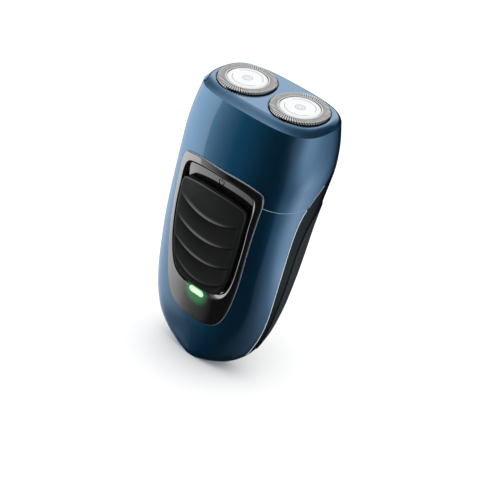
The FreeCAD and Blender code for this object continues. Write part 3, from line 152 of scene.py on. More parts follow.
# soft green glow of the charge light on the panel around it
tc = nt.nodes.new("ShaderNodeTexCoord")
dist = nt.nodes.new("ShaderNodeVectorMath")
dist.operation = "DISTANCE"
dist.inputs[1].default_value = (0.0, -0.0150, 0.0316)
rmp = nt.nodes.new("ShaderNodeMapRange")
rmp.interpolation_type = "SMOOTHERSTEP"
rmp.inputs["From Min"].default_value = 0.0028
rmp.inputs["From Max"].default_value = 0.0074
rmp.inputs["To Min"].default_value = 0.20
rmp.inputs["To Max"].default_value = 0.0
nt.links.new(tc.outputs["Object"], dist.inputs[0])
nt.links.new(dist.outputs["Value"], rmp.inputs["Value"])
nt.links.new(rmp.outputs["Result"], b.inputs["Emission Strength"])
b.inputs["Emission Color"].default_value = (0.06, 0.75, 0.22, 1)
m, nt, b = make("slider_grey", (0.0040, 0.0042, 0.0042), rough=0.4, spec=0.045)
noise_bump(nt, b, 2600.0, 0.2)
# base colour from a vertex attribute of painted light: painted shade under each lip, painted highlights on the lips
# and round the rim
an = nt.nodes.new("ShaderNodeAttribute")
an.attribute_name = "lip_shade_highlight"
rp = nt.nodes.new("ShaderNodeValToRGB")
els = rp.color_ramp.elements
els[0].position, els[0].color = 0.0, (0.0014, 0.0015, 0.0015, 1)
els[1].position, els[1].color = 1.0, (0.120, 0.128, 0.130, 1)
e = els.new(0.5)
e.color = (0.0105, 0.0113, 0.0115, 1)
nt.links.new(an.outputs["Fac"], rp.inputs[0])
nt.links.new(rp.outputs["Color"], b.inputs["Base Color"])
make("guard_steel", (0.220, 0.230, 0.246), rough=0.14, metal=1.0)
detail("guard_steel", 1500.0, 0.10, 0.10, 0.19, bump=0.05, bump_scale=5000.0)
make("disc_silver", (0.60, 0.61, 0.615), rough=0.45, metal=0.0, spec=0.3)
detail("disc_silver", 900.0, 0.035, 0.40, 0.50, bump=0.06, bump_scale=6000.0, stretch=(1.0, 7.0, 1.0))
make("cutter_steel", (0.06, 0.06, 0.06), rough=0.3, metal=1.0)
detail("cutter_steel", 1200.0, 0.2, 0.24, 0.36, bump=0.08, bump_scale=4000.0)
make("carrier_plastic", (0.72, 0.72, 0.68), rough=0.45)
detail("carrier_plastic", 500.0, 0.04, 0.40, 0.50, bump=0.05, bump_scale=2500.0)
make("frame_grey", (0.24, 0.26, 0.29), rough=0.4)
detail("frame_grey", 450.0, 0.07, 0.36, 0.46, bump=0.08, bump_scale=2600.0)
make("lock_blue", (0.06, 0.16, 0.30), rough=0.35)
detail("lock_blue", 450.0, 0.07, 0.30, 0.40, bump=0.08, bump_scale=2600.0)
make("gear_plastic", (0.78, 0.76, 0.70), rough=0.4)
detail("gear_plastic", 380.0, 0.05, 0.34, 0.48, bump=0.05, bump_scale=2500.0)
make("chassis_grey", (0.09, 0.09, 0.10), rough=0.5)
detail("chassis_grey", 420.0, 0.12, 0.45, 0.58, bump=0.12, bump_scale=2400.0)
make("motor_steel", (0.55, 0.55, 0.56), rough=0.3, metal=1.0)
detail("motor_steel", 260.0, 0.10, 0.22, 0.38, bump=0.05, bump_scale=1500.0, stretch=(1.0, 1.0, 9.0))
make("motor_cap", (0.04, 0.04, 0.04), rough=0.45)
detail("motor_cap", 420.0, 0.15, 0.40, 0.52, bump=0.08, bump_scale=2600.0)
make("magnet", (0.10, 0.10, 0.11), rough=0.6)
detail("magnet", 900.0, 0.25, 0.52, 0.68, bump=0.2, bump_scale=1800.0)
make("copper", (0.75, 0.34, 0.16), rough=0.3, metal=1.0)
# enamelled wire laid side by side along the drum
m = MAT["copper"]
nt, b, tc = detail("copper", 320.0, 0.12, 0.22, 0.38)
wv = nt.nodes.new("ShaderNodeTexWave")
wv.wave_type = "BANDS"
wv.bands_direction = "Z"
wv.inputs["Scale"].default_value = 900.0
wv.inputs["Distortion"].default_value = 1.5
bp = nt.nodes.new("ShaderNodeBump")
bp.inputs["Strength"].default_value = 0.6
bp.inputs["Distance"].default_value = 0.00008
nt.links.new(tc.outputs["Object"], wv.inputs["Vector"])
nt.links.new(wv.outputs["Fac"], bp.inputs["Height"])
nt.links.new(bp.outputs["Normal"], b.inputs["Normal"])
make("spring_steel", (0.62, 0.62, 0.62), rough=0.25, metal=1.0)
detail("spring_steel", 900.0, 0.08, 0.20, 0.32)
make("cell_wrap", (0.05, 0.26, 0.15), rough=0.3)
detail("cell_wrap", 160.0, 0.06, 0.24, 0.36, bump=0.10, bump_scale=260.0, stretch=(1.0, 1.0, 0.3), distance=0.0002)
make("nickel", (0.66, 0.64, 0.58), rough=0.25, metal=1.0)
detail("nickel", 700.0, 0.06, 0.18, 0.32)
make("board_green", (0.015, 0.10, 0.04), rough=0.35)
# solder mask over copper tracks: cells of lighter and darker green with a slight step between them
nt, b, tc = detail("board_green", 350.0, 0.10, 0.30, 0.40)
vo = nt.nodes.new("ShaderNodeTexVoronoi")
vo.distance = "CHEBYCHEV"
vo.inputs["Scale"].default_value = 330.0
bp = nt.nodes.new("ShaderNodeBump")
bp.inputs["Strength"].default_value = 0.25
bp.inputs["Distance"].default_value = 0.00004
nt.links.new(tc.outputs["Object"], vo.inputs["Vector"])
nt.links.new(vo.outputs["Distance"], bp.inputs["Height"])
nt.links.new(bp.outputs["Normal"], b.inputs["Normal"])
make("component_black", (0.02, 0.02, 0.02), rough=0.4)
detail("component_black", 600.0, 0.2, 0.35, 0.5, bump=0.08, bump_scale=2600.0)
m, nt, b = make("led_green", (0.25, 0.9, 0.5), rough=0.3)
b.inputs["Emission Color"].default_value = (0.2, 0.9, 0.4, 1)
b.inputs["Emission Strength"].default_value = 2.0
detail("led_green", 900.0, 0.08, 0.25, 0.35)
m, nt, b = make("lens_green", (0.28, 0.42, 0.28), rough=0.3)
b.inputs["Emission Color"].default_value = (0.50, 0.86, 0.52, 1)
b.inputs["Emission Strength"].default_value = 0.72
nt, b, tc = detail("lens_green", 900.0, 0.06, 0.26, 0.34)
# paler in the middle of the lens, greener toward its rim
sb = nt.nodes.new("ShaderNodeVectorMath")
sb.operation = "SUBTRACT"
sb.inputs[1].default_value = (0.0, -0.0150, 0.0316)
ml = nt.nodes.new("ShaderNodeVectorMath")
ml.operation = "MULTIPLY"
ml.inputs[1].default_value = (1 / 0.00365, 0.0, 1 / 0.00138)
ln = nt.nodes.new("ShaderNodeVectorMath")
ln.operation = "LENGTH"
rp = nt.nodes.new("ShaderNodeValToRGB")
els = rp.color_ramp.elements
els[0].position, els[0].color = 0.25, (0.74, 0.84, 0.68, 1)
els[1].position, els[1].color = 1.0, (0.38, 0.68, 0.38, 1)
nt.links.new(tc.outputs["Object"], sb.inputs[0])
nt.links.new(sb.outputs["Vector"], ml.inputs[0])
nt.links.new(ml.outputs["Vector"], ln.inputs[0])
nt.links.new(ln.outputs["Value"], rp.inputs[0])
nt.links.new(rp.outputs["Color"], b.inputs["Emission Color"])
make("socket_black", (0.015, 0.015, 0.015), rough=0.35)
detail("socket_black", 450.0, 0.2, 0.30, 0.42, bump=0.08, bump_scale=2600.0)
make("pin_brass", (0.80, 0.66, 0.36), rough=0.22, metal=1.0)
detail("pin_brass", 800.0, 0.07, 0.16, 0.28)
make("screw_steel", (0.6, 0.6, 0.61), rough=0.25, metal=1.0)
detail("screw_steel", 900.0, 0.08, 0.20, 0.34, bump=0.06, bump_scale=3500.0)
make("wire_red", (0.45, 0.02, 0.015), rough=0.4)
detail("wire_red", 500.0, 0.08, 0.34, 0.46)

NODE_SLOT = {s["node"]: s["material_slot"] for s in frame["record"]["subparts"]}
for name, obj in N.items():
    mat = MAT[NODE_SLOT[name]]
    if obj.data.materials:
        for i in range(len(obj.data.materials)):
            obj.data.materials[i] = mat
    else:
        obj.data.materials.append(mat)



# spindle springs: each spring's mesh copied in place into a coil object of its own, with the CAD spring hidden
for nm in ("left", "right"):
    src = N["spindle_spring_" + nm]
    me = src.data.copy()
    me.transform(src.matrix_world)
    coil = bpy.data.objects.new("spring_coil_" + nm, me)
    scene.collection.objects.link(coil)
    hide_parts("spindle_spring_" + nm)
    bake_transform(coil)

# ---------------------------------------------------------------- outer form of the handle
# depth below the deck centre, half width, front reach, back reach, corner exponent (millimetres)
PROFILE = [
    (-3.0, 27.00, 13.90, 14.60, 3.30), (2.73, 27.95, 14.60, 16.50, 3.30), (9.6, 28.70, 15.75, 18.55, 3.50),
    (19.3, 29.10, 17.30, 20.40, 3.55), (31.0, 28.35, 18.65, 19.90, 3.60), (44.0, 27.95, 19.00, 18.30, 3.60),
    (58.0, 28.05, 17.90, 16.85, 3.60), (73.0, 27.80, 15.55, 15.00, 3.60), (87.0, 26.60, 13.60, 12.85, 3.50),
    (97.5, 24.05, 12.05, 10.60, 3.40), (105.0, 20.40, 10.35, 7.70, 3.20), (109.8, 14.90, 9.35, 6.60, 2.90),
    (112.4, 9.90, 8.60, 6.20, 2.65), (113.5, 7.00, 8.05, 5.90, 2.50)]


def spline_at(col, q):
    rows = PROFILE
    q = min(max(q, rows[0][0] + 1e-6), rows[-1][0] - 1e-6)
    for i in range(len(rows) - 1):
        if rows[i][0] <= q <= rows[i + 1][0]:
            break

    def tangent(k):
        if k == 0:
            return (rows[1][col] - rows[0][col]) / (rows[1][0] - rows[0][0])
        if k == len(rows) - 1:
            return (rows[k][col] - rows[k - 1][col]) / (rows[k][0] - rows[k - 1][0])
        h0, h1 = rows[k][0] - rows[k - 1][0], rows[k + 1][0] - rows[k][0]
        s0, s1 = (rows[k][col] - rows[k - 1][col]) / h0, (rows[k + 1][col] - rows[k][col]) / h1
        return (s0 * h1 + s1 * h0) / (h0 + h1)
    h = rows[i + 1][0] - rows[i][0]
    t = (q - rows[i][0]) / h
    m0, m1 = tangent(i) * h, tangent(i + 1) * h
    p0, p1 = rows[i][col], rows[i + 1][col]
    v = (2 * t**3 - 3 * t**2 + 1) * p0 + (t**3 - 2 * t**2 + t) * m0 + (-2 * t**3 + 3 * t**2) * p1 + (t**3 - t**2) * m1
    sl = ((6 * t**2 - 6 * t) * p0 + (3 * t**2 - 4 * t + 1) * m0 + (-6 * t**2 + 6 * t) * p1 + (3 * t**2 - 2 * t) * m1) / h
    return v, sl


def front_y(x, z, proud):
    """y of the front of the form at width x and height z, pushed out by proud."""
    q = 113.5 - z
    a, sa = spline_at(1, q)
    b, sb = spline_at(2, q)
    n, _ = spline_at(4, q)
    a += proud * math.sqrt(1 + sa * sa)
    b += proud * math.sqrt(1 + sb * sb)
    k = (8 * 2 ** (-1.0 / n) - 4) / 3.0
    x = min(abs(x), a * 0.9999)
    lo, hi = 0.0, 1.0
    for _ in range(28):
        t = (lo + hi) / 2
        if 3 * (1 - t) ** 2 * t * k * a + 3 * (1 - t) * t * t * a + t**3 * a < x:
            lo = t
        else:
            hi = t
    return -((1 - t) ** 3 * b + 3 * (1 - t) ** 2 * t * b + 3 * (1 - t) * t * t * k * b)


SP, CP = math.sin(math.radians(5.5)), math.cos(math.radians(5.5))


def panel_n(x, w, proud):
    """Height above the panel plane of the form pushed out by proud, over the point (x, w)."""
    n = 0.5
    for _ in range(6):
        y = front_y(x, 57.5 + w * CP - n * SP, proud)
        n += (-17.1 - w * SP - n * CP - y) / CP
    return n


def panel_to_world(x, w, n):
    return (x * MM, (-17.1 - w * SP - n * CP) * MM, (57.5 + w * CP - n * SP) * MM)


def smooth_outline(right, top, low, count, grow=0.0, lift=0.0):
    """Closed outline, left-right symmetric, as count points evenly spaced along it."""
    pts = [(0.0, top)] + list(right) + [(0.0, low)]
    n = len(pts)
    ks = []
    for i, (x, y) in enumerate(pts):
        if i == 0:
            nx, ny = 0.0, 1.0
        elif i == n - 1:
            nx, ny = 0.0, -1.0
        else:
            tx, ty = pts[i + 1][0] - pts[i - 1][0], pts[i + 1][1] - pts[i - 1][1]
            r = math.hypot(tx, ty)
            nx, ny = -ty / r, tx / r
        ks.append((x + grow * nx, y + grow * ny + (lift if y > top - 12 else 0.0)))
    # cubic spline through the knots, level at both ends
    t = [0.0]
    for p, q in zip(ks, ks[1:]):
        t.append(t[-1] + math.hypot(q[0] - p[0], q[1] - p[1]))
    cols = []
    for c in (0, 1):
        f = [k[c] for k in ks]
        d0 = 1.0 if c == 0 else 0.0
        d1 = -1.0 if c == 0 else 0.0
        a, b, cc, r = [0.0] * n, [1.0] * n, [0.0] * n, [0.0] * n
        r[0], r[-1] = d0, d1
        for i in range(1, n - 1):
            h0, h1 = t[i] - t[i - 1], t[i + 1] - t[i]
            a[i], b[i], cc[i] = h1, 2 * (h0 + h1), h0
            r[i] = 3 * (h1 * (f[i] - f[i - 1]) / h0 + h0 * (f[i + 1] - f[i]) / h1)
        for i in range(1, n):
            m = a[i] / b[i - 1]
            b[i] -= m * cc[i - 1]
            r[i] -= m * r[i - 1]
        s = [0.0] * n
        s[-1] = r[-1] / b[-1]
        for i in range(n - 2, -1, -1):
            s[i] = (r[i] - cc[i] * s[i + 1]) / b[i]
        cols.append((f, s))
    dense = []
    for i in range(n - 1):
        h = t[i + 1] - t[i]
        for j in range(60):
            u = j / 60
            p = []
            for f, s in cols:
                p.append((2 * u**3 - 3 * u**2 + 1) * f[i] + (u**3 - 2 * u**2 + u) * h * s[i]
                         + (-2 * u**3 + 3 * u**2) * f[i + 1] + (u**3 - u**2) * h * s[i + 1])
            dense.append(tuple(p))
    dense.append(ks[-1])
    loop = dense + [(-x, y) for x, y in reversed(dense[1:-1])]
    return even(loop, count)


def even(loop, count):
    n = len(loop)
    cum = [0.0]
    for i in range(n):
        p, q = loop[i], loop[(i + 1) % n]
        cum.append(cum[-1] + math.hypot(q[0] - p[0], q[1] - p[1]))
    out, j = [], 0
    for i in range(count):
        s = cum[-1] * i / count
        while cum[j + 1] < s:
            j += 1
        u = (s - cum[j]) / (cum[j + 1] - cum[j])
        p, q = loop[j], loop[(j + 1) % n]
        out.append((p[0] + (q[0] - p[0]) * u, p[1] + (q[1] - p[1]) * u))
    return out


def offset_in(loop, dist):
    """Loop moved inwards by dist along its own normals."""
    n = len(loop)
    out = []
    for i in range(n):
        p, q = loop[i - 1], loop[(i + 1) % n]
        tx, ty = q[0] - p[0], q[1] - p[1]
        r = math.hypot(tx, ty)
        # the loop runs clockwise, so the inside is to the right of the direction of travel
        out.append((loop[i][0] + dist * ty / r, loop[i][1] - dist * tx / r))
    return out


def new_mesh(name, verts, faces, mat, smooth=True):
    me = bpy.data.meshes.new(name)
    me.from_pydata(verts, [], faces)
    me.validate()
    me.materials.append(mat)
    for p in me.polygons:
        p.use_smooth = smooth
    o = bpy.data.objects.new(name, me)
    scene.collection.objects.link(o)
    return o


def ring_skin(name, rings, mat, smooth=True):
    """Closed skin over a stack of equal loops of points, capped with a fan at both ends."""
    n = len(rings[0])
    vs, fs = [], []
    for r in rings:
        vs.extend(r)
    for i in range(len(rings) - 1):
        for j in range(n):
            a, b = i * n + j, i * n + (j + 1) % n
            fs.append((a, b, b + n, a + n))
    for base, flip in ((0, False), ((len(rings) - 1) * n, True)):
        c = [sum(vs[base + j][k] for j in range(n)) / n for k in range(3)]
        vs.append(tuple(c))
        for j in range(n):
            f = (base + (j + 1) % n, base + j, len(vs) - 1)
            fs.append(tuple(reversed(f)) if flip else f)
    return new_mesh(name, vs, fs, mat, smooth)


def fix_normals(o):
    import bmesh
    bm = bmesh.new()
    bm.from_mesh(o.data)
    bmesh.ops.recalc_face_normals(bm, faces=bm.faces)
    bm.to_mesh(o.data)
    bm.free()


def sharp_by_angle(o, deg):
    import bmesh
    bm = bmesh.new()
    bm.from_mesh(o.data)
    for e in bm.edges:
        if len(e.link_faces) == 2 and e.calc_face_angle(0) > math.radians(deg):
            e.smooth = False
    bm.to_mesh(o.data)
    bm.free()


def box_piece(name, lo, hi, mat, frame_m=None):
    vs = [(x, y, z) for z in (lo[2], hi[2]) for y in (lo[1], hi[1]) for x in (lo[0], hi[0])]
    fs = [(0, 2, 3, 1), (4, 5, 7, 6), (0, 1, 5, 4), (2, 6, 7, 3), (1, 3, 7, 5), (0, 4, 6, 2)]
    o = new_mesh(name, [tuple(v * MM for v in p) for p in vs], fs, mat, smooth=False)
    if frame_m is not None:
        o.data.transform(frame_m)
    return o


def subtract(o, tool):
    m = o.modifiers.new("cut", "BOOLEAN")
    m.operation = "DIFFERENCE"
    m.solver = "EXACT"
    m.object = tool
    bpy.context.view_layer.update()
    dg = bpy.context.evaluated_depsgraph_get()
    me = bpy.data.meshes.new_from_object(o.evaluated_get(dg))
    o.modifiers.clear()
    old = o.data
    o.data = me
    bpy.data.meshes.remove(old)
    bpy.data.objects.remove(tool)


def smoothstep(a, b, x):
    t = min(max((x - a) / (b - a), 0.0), 1.0)
    return t * t * (3 - 2 * t)


# ---------------------------------------------------------------- thumb slider
PANEL_R = [(17.0, 27.15), (19.1, 26.3), (20.05, 24.0), (20.05, 19.5), (19.75, 13.0), (19.4, 6.0), (19.05, -1.0), (18.4, -10.6),
           (17.1, -20.1), (15.6, -27.1), (13.5, -32.6), (10.2, -36.5), (5.5, -38.2)]
PANEL_TOP, PANEL_LOW = 27.9, -38.5
SLIDER_R = [(13.6, 18.75), (15.3, 18.1), (15.95, 16.4), (15.95, 12.0), (15.75, 4.5), (15.35, -2.0), (14.75, -8.0),
            (13.85, -13.5), (12.5, -18.0), (10.6, -21.0), (8.0, -22.4), (4.4, -23.0)]
SLIDER_TOP, SLIDER_LOW = 19.5, -23.15
FLOOR_N = -1.9
LIPS = [(7.7, 29.0), (-1.5, 28.0), (-10.9, 25.0), (-20.3, 17.5)]


def lip_w(k, x):
    w0, rad = LIPS[k]
    return w0 + rad - math.sqrt(max(rad * rad - x * x, 0.0))


def scale_depth(x, w):
    """Depth of the thumb scales: deepest just under a lip, rising to nothing at the next lip down."""
    up = None
    for k in range(len(LIPS)):
        if w < lip_w(k, x):
            up = k
    side = max(1.0 - (x / 15.2) ** 2, 0.0) ** 0.9
    if up is None:
        # above the first lip: a slight hollow
        t = w - lip_w(0, x)
        return 0.28 * smoothstep(0.0, 4.5, t) * (1.0 - smoothstep(4.5, 10.0, t)) * side
    t = lip_w(up, x) - w
    if up + 1 < len(LIPS):
        u = t / (lip_w(up, x) - lip_w(up + 1, x))
        return 0.80 * smoothstep(0.0, 0.55, t) * max(1.0 - u, 0.0) ** 0.85 * side
    return 0.30 * smoothstep(0.0, 0.5, t) * side


def slider_top(x, w, edge):
    n = panel_n(x, w, 1.72) - scale_depth(x, w) * smoothstep(0.3, 2.2, edge)
    r = 0.5
    if edge < r:
        n -= r - math.sqrt(max(r * r - (r - edge) ** 2, 0.0))
    return n


cnt = 480
outline = smooth_outline(SLIDER_R, SLIDER_TOP, SLIDER_LOW, cnt)
CX, CW = 0.0, -2.0
rings = []
base = [(x, w) for x, w in outline]
rings.append([panel_to_world(CX + (x - CX) * 0.9, CW + (w - CW) * 0.9, FLOOR_N + 0.12) for x, w in base])
rings.append([panel_to_world(x, w, FLOOR_N + 0.12) for x, w in base])
for e in (0.0, 0.03, 0.08, 0.16, 0.27, 0.4, 0.55):
    lp = offset_in(base, e)
    if e == 0.0:
        rings.append([panel_to_world(x, w, slider_top(x, w, 0.0) - 0.9) for x, w in lp])
    rings.append([panel_to_world(x, w, slider_top(x, w, e)) for x, w in lp])
inner_loop = offset_in(base, 0.55)
steps = 118
for j in range(1, steps):
    sc = 1 - j / steps
    ring = []
    for (x, w), (bx, bw) in zip(inner_loop, base):
        px, pw = CX + (x - CX) * sc, CW + (w - CW) * sc
        edge = 0.55 + (1 - sc) * math.hypot(x - CX, w - CW) * 0.8
        ring.append(panel_to_world(px, pw, slider_top(px, pw, edge)))
    rings.append(ring)
slider = ring_skin("slider_body", rings, MAT["slider_grey"])
fix_normals(slider)


def lip_shade_highlight(x, w):
    """Painted light on the slider: 0 painted shade under a lip, 0.5 the plain surface, 1 a painted highlight on the
    lip; the plain surface is painted darker to the right and lower down.
    """
    base = 0.52 - 0.26 * smoothstep(-12.0, 13.0, x) - 0.08 * smoothstep(18.0, -22.0, w)
    side = max(1.0 - (x / 14.4) ** 2, 0.0)
    v = base
    for k in range(len(LIPS)):
        t = lip_w(k, x) - w
        if k + 1 < len(LIPS):
            gap = lip_w(k, x) - lip_w(k + 1, x)
        else:
            gap = 3.0
        if 0.0 <= t <= gap:
            v = base - (base - 0.02) * (1.0 - smoothstep(0.3, gap * 0.95, t)) * side ** 0.3
    crest = 0.0
    for k in range(len(LIPS)):
        t = w - lip_w(k, x)
        if -0.2 < t < 2.2:
            amp = 0.55 if k == 3 else 1.0
            crest = max(crest, amp * smoothstep(-0.2, 0.0, t) * (1.0 - smoothstep(0.18, 2.1, t)) ** 1.3 * side ** 0.9)
    return min(v + 0.52 * crest, 1.0)


inv = PANEL.inverted()
at_w = slider.data.attributes.new("lip_shade_highlight", "FLOAT", "POINT")
vals = []
for v in slider.data.vertices:
    p = inv @ v.co
    vals.append(lip_shade_highlight(p.x / MM, p.y / MM) if p.z / MM > 0.2 else 0.1)
# painted highlight: a lighter line round the top edge, stronger toward the top of the slider
for k in range(len(base)):
    for j, amt in ((3, 0.10), (4, 0.26), (5, 0.30), (6, 0.28), (7, 0.16), (8, 0.06)):
        vals[j * cnt + k] += amt * (0.35 + 0.65 * smoothstep(-16.0, 14.0, base[k][1]))

at_w.data.foreach_set("value", vals)
post = box_piece("slider_post", (-1.2, -5.0, FLOOR_N - 1.3), (1.2, 5.0, FLOOR_N + 0.2), MAT["slider_grey"], PANEL)
for o in (slider, post):
    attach(o, "power_slider")
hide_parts("thumb_slider")

# ---------------------------------------------------------------- front panel
cnt = 520
outer_loop = smooth_outline(PANEL_R, PANEL_TOP, PANEL_LOW, cnt, grow=0.0)
lip_dense = smooth_outline(SLIDER_R, SLIDER_TOP, SLIDER_LOW, 1400, grow=2.0, lift=4.3)
track_dense = smooth_outline(SLIDER_R, SLIDER_TOP, SLIDER_LOW, 1400, grow=0.42, lift=5.0)
PC = (0.0, -2.0)


def match(loop, dense):
    """For each point of loop, the point of dense in the same direction from the panel's middle."""
    ang = sorted((math.atan2(w - PC[1], x - PC[0]), math.hypot(x - PC[0], w - PC[1])) for x, w in dense)
    ang = [(ang[-1][0] - 2 * math.pi, ang[-1][1])] + ang + [(ang[0][0] + 2 * math.pi, ang[0][1])]
    import bisect
    keys = [a for a, _ in ang]
    out = []
    for x, w in loop:
        t = math.atan2(w - PC[1], x - PC[0])
        k = bisect.bisect_left(keys, t)
        k = min(max(k, 1), len(ang) - 1)
        (a0, r0), (a1, r1) = ang[k - 1], ang[k]
        r = r0 + (r1 - r0) * ((t - a0) / (a1 - a0) if a1 > a0 else 0.0)
        out.append((PC[0] + r * math.cos(t), PC[1] + r * math.sin(t)))
    return out


def lerp_loop(a, b, u):
    return [(p[0] + (q[0] - p[0]) * u, p[1] + (q[1] - p[1]) * u) for p, q in zip(a, b)]


lip_loop = match(outer_loop, lip_dense)
track_loop = match(outer_loop, track_dense)
PROUD = 0.5
TH = 1.6
rings = []
bottom_in = lerp_loop(track_loop, lip_loop, 0.6)
# underside: middle of the tub, tub wall, skin underside, outer wall
rings.append([panel_to_world(x * 0.5, PC[1] + (w - PC[1]) * 0.5, FLOOR_N - 1.1) for x, w in bottom_in])
rings.append([panel_to_world(x, w, FLOOR_N - 1.1) for x, w in bottom_in])
rings.append([panel_to_world(x, w, min(panel_n(x, w, PROUD) - TH, FLOOR_N + 0.4)) for x, w in bottom_in])
rings.append([panel_to_world(x, w, panel_n(x, w, PROUD) - TH) for x, w in outer_loop])
rr = 0.34
for e in (0.0, 0.02, 0.06, 0.12, 0.2, 0.28, 0.36):
    lp = offset_in(outer_loop, e)
    drop = rr - math.sqrt(max(rr * rr - (rr - min(e, rr)) ** 2, 0.0))
    rings.append([panel_to_world(x, w, panel_n(x, w, PROUD) - drop) for x, w in lp])
edge_loop = offset_in(outer_loop, 0.36)
ns = 14
for j in range(1, ns + 1):
    lp = lerp_loop(edge_loop, lip_loop, j / ns)
    rings.append([panel_to_world(x, w, panel_n(x, w, PROUD)) for x, w in lp])
# shallow bevel down to the track, with a soft start
for j in range(1, 9):
    u = j / 8
    lp = lerp_loop(lip_loop, track_loop, u)
    rings.append([panel_to_world(x, w, max(panel_n(x, w, PROUD) - 0.62 * u ** 1.25, FLOOR_N + 0.02)) for x, w in lp])
rings.append([panel_to_world(x, w, max(panel_n(x, w, PROUD) - 0.72, FLOOR_N + 0.01)) for x, w in offset_in(track_loop, 0.03)])
fl = offset_in(track_loop, 0.05)
rings.append([panel_to_world(x, w, FLOOR_N) for x, w in fl])
rings.append([panel_to_world(PC[0] + (x - PC[0]) * 0.6, PC[1] + (w - PC[1]) * 0.6, FLOOR_N) for x, w in fl])
panel = ring_skin("panel_body", rings, MAT["panel_black"])
fix_normals(panel)


def race_prism(name, w0, half, r, lo, hi, mat, seg=20):
    pts = []
    for i in range(seg + 1):
        a = -math.pi / 2 + math.pi * i / seg
        pts.append((half - r + r * math.cos(a), w0 + r * math.sin(a)))
    for i in range(seg + 1):
        a = math.pi / 2 + math.pi * i / seg
        pts.append((-(half - r) + r * math.cos(a), w0 + r * math.sin(a)))
    return ring_skin(name, [[panel_to_world(x, w, lo) for x, w in pts], [panel_to_world(x, w, hi) for x, w in pts]], mat, smooth=False), pts


LED_W = -26.0
tool, _ = race_prism("tool_led", LED_W, 3.72, 1.46, -6.0, 4.0, MAT["panel_black"])
fix_normals(tool)
subtract(panel, tool)
tool = box_piece("tool_window", (-1.6, -5.4, FLOOR_N - 2.0), (1.6, 9.9, FLOOR_N + 0.5), MAT["panel_black"], PANEL)
fix_normals(tool)
subtract(panel, tool)
for p in panel.data.polygons:
    p.use_smooth = True
sharp_by_angle(panel, 38)
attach(panel, "handle")
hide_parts("front_panel")

# charge light: a lens with a slightly domed face over the pipe
seg = 18
lens_rings = []
for grow, nn in ((-0.6, -1.2), (0.0, -1.2), (0.0, 0.0), (-0.05, 0.06), (-0.16, 0.11), (-0.4, 0.14), (-0.75, 0.16)):
    r = 1.38 + grow
    hh = 3.65 - 1.38
    pts = []
    for i in range(seg + 1):
        a = -math.pi / 2 + math.pi * i / seg
        pts.append((hh + r * math.cos(a), LED_W + r * math.sin(a)))
    for i in range(seg + 1):
        a = math.pi / 2 + math.pi * i / seg
        pts.append((-hh + r * math.cos(a), LED_W + r * math.sin(a)))
    base_n = panel_n(0, LED_W, PROUD)
    lens_rings.append([panel_to_world(x, w, (panel_n(x, w, PROUD) if nn > -1 else base_n) + nn) for x, w in pts])
lens = ring_skin("charge_light_lens", lens_rings, MAT["lens_green"])
fix_normals(lens)
sharp_by_angle(lens, 50)
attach(lens, "handle")

# power mark: a ring open at the top with a short stroke
def flat_stroke(name, pts, width, low, high, mat, closed=False):
    left, right = [], []
    for i, p in enumerate(pts):
        a, b = pts[max(i - 1, 0)], pts[min(i + 1, len(pts) - 1)]
        tx, ty = b[0] - a[0], b[1] - a[1]
        r = math.hypot(tx, ty)
        nx, ny = -ty / r * width / 2, tx / r * width / 2
        left.append((p[0] + nx, p[1] + ny))
        right.append((p[0] - nx, p[1] - ny))
    loop = left + right[::-1]
    n = len(loop)
    vs = [panel_to_world(x, w, low) for x, w in loop] + [panel_to_world(x, w, high) for x, w in loop]
    m = len(pts)
    fs = []
    for i in range(m - 1):
        a, b, c, d = i, i + 1, n - 2 - i, n - 1 - i
        fs.append((a, b, c, d))
        fs.append((d + n, c + n, b + n, a + n))
    for i in range(n):
        j = (i + 1) % n
        fs.append((j, i, i + n, j + n))
    o = new_mesh(name, vs, fs, mat, smooth=False)
    fix_normals(o)
    return o


make("mark_black", (0.0015, 0.0015, 0.0015), rough=0.7, spec=0.05)
detail("mark_black", 900.0, 0.2, 0.62, 0.78)
mark_m = MAT["mark_black"]
MW = 22.8
arc = [(1.2 * math.sin(math.radians(a)), MW + 1.2 * math.cos(math.radians(a))) for a in range(36, 325, 6)]
for nm, pts in (("power_mark_ring", arc), ("power_mark_stroke", [(0, MW + 0.2), (0, MW + 1.6)])):
    o = flat_stroke(nm, pts, 0.34, FLOOR_N - 0.05, FLOOR_N + 0.03, mark_m)
    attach(o, "handle")

# fine rounded edge beads round the panel's opening, along the parting line and between shell and rear cover; their
# colour, lighter than the shell, is a painted highlight
highlight_edge_m, edge_nt, edge_b = make("edge_painted_highlight", (0.30, 0.37, 0.42), rough=0.4, metal=0.4, spec=0.5)
noise_bump(edge_nt, edge_b, 1800.0, 0.1)


def bead(name, pts, radius, mat, closed=False, sides=8):
    """Round bead along a line of world points."""
    n = len(pts)
    vs, fs = [], []
    ps = [Vector(p) for p in pts]
    ref = None
    for i, p in enumerate(ps):
        a = ps[(i - 1) % n] if closed or i else p
        b = ps[(i + 1) % n] if closed or i < n - 1 else p
        t = (b - a).normalized()
        if ref is None:
            ref = t.orthogonal().normalized()
        ref = (ref - t * ref.dot(t)).normalized()
        side = t.cross(ref)
        for k in range(sides):
            an = 2 * math.pi * k / sides
            vs.append(tuple(p + (ref * math.cos(an) + side * math.sin(an)) * radius * MM))
    for i in range(n if closed else n - 1):
        i2 = (i + 1) % n
        for k in range(sides):
            k2 = (k + 1) % sides
            fs.append((i * sides + k, i * sides + k2, i2 * sides + k2, i2 * sides + k))
    if not closed:
        fs.append(tuple(range(sides - 1, -1, -1)))
        fs.append(tuple((n - 1) * sides + k for k in range(sides)))
    o = new_mesh(name, vs, fs, mat)
    fix_normals(o)
    return o


loop = smooth_outline(PANEL_R, PANEL_TOP, PANEL_LOW, 400, grow=0.03)
o = bead("panel_edge_line", [panel_to_world(x, w, panel_n(x, w, 0.0) + 0.06) for x, w in loop], 0.10, highlight_edge_m, closed=True)
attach(o, "handle")


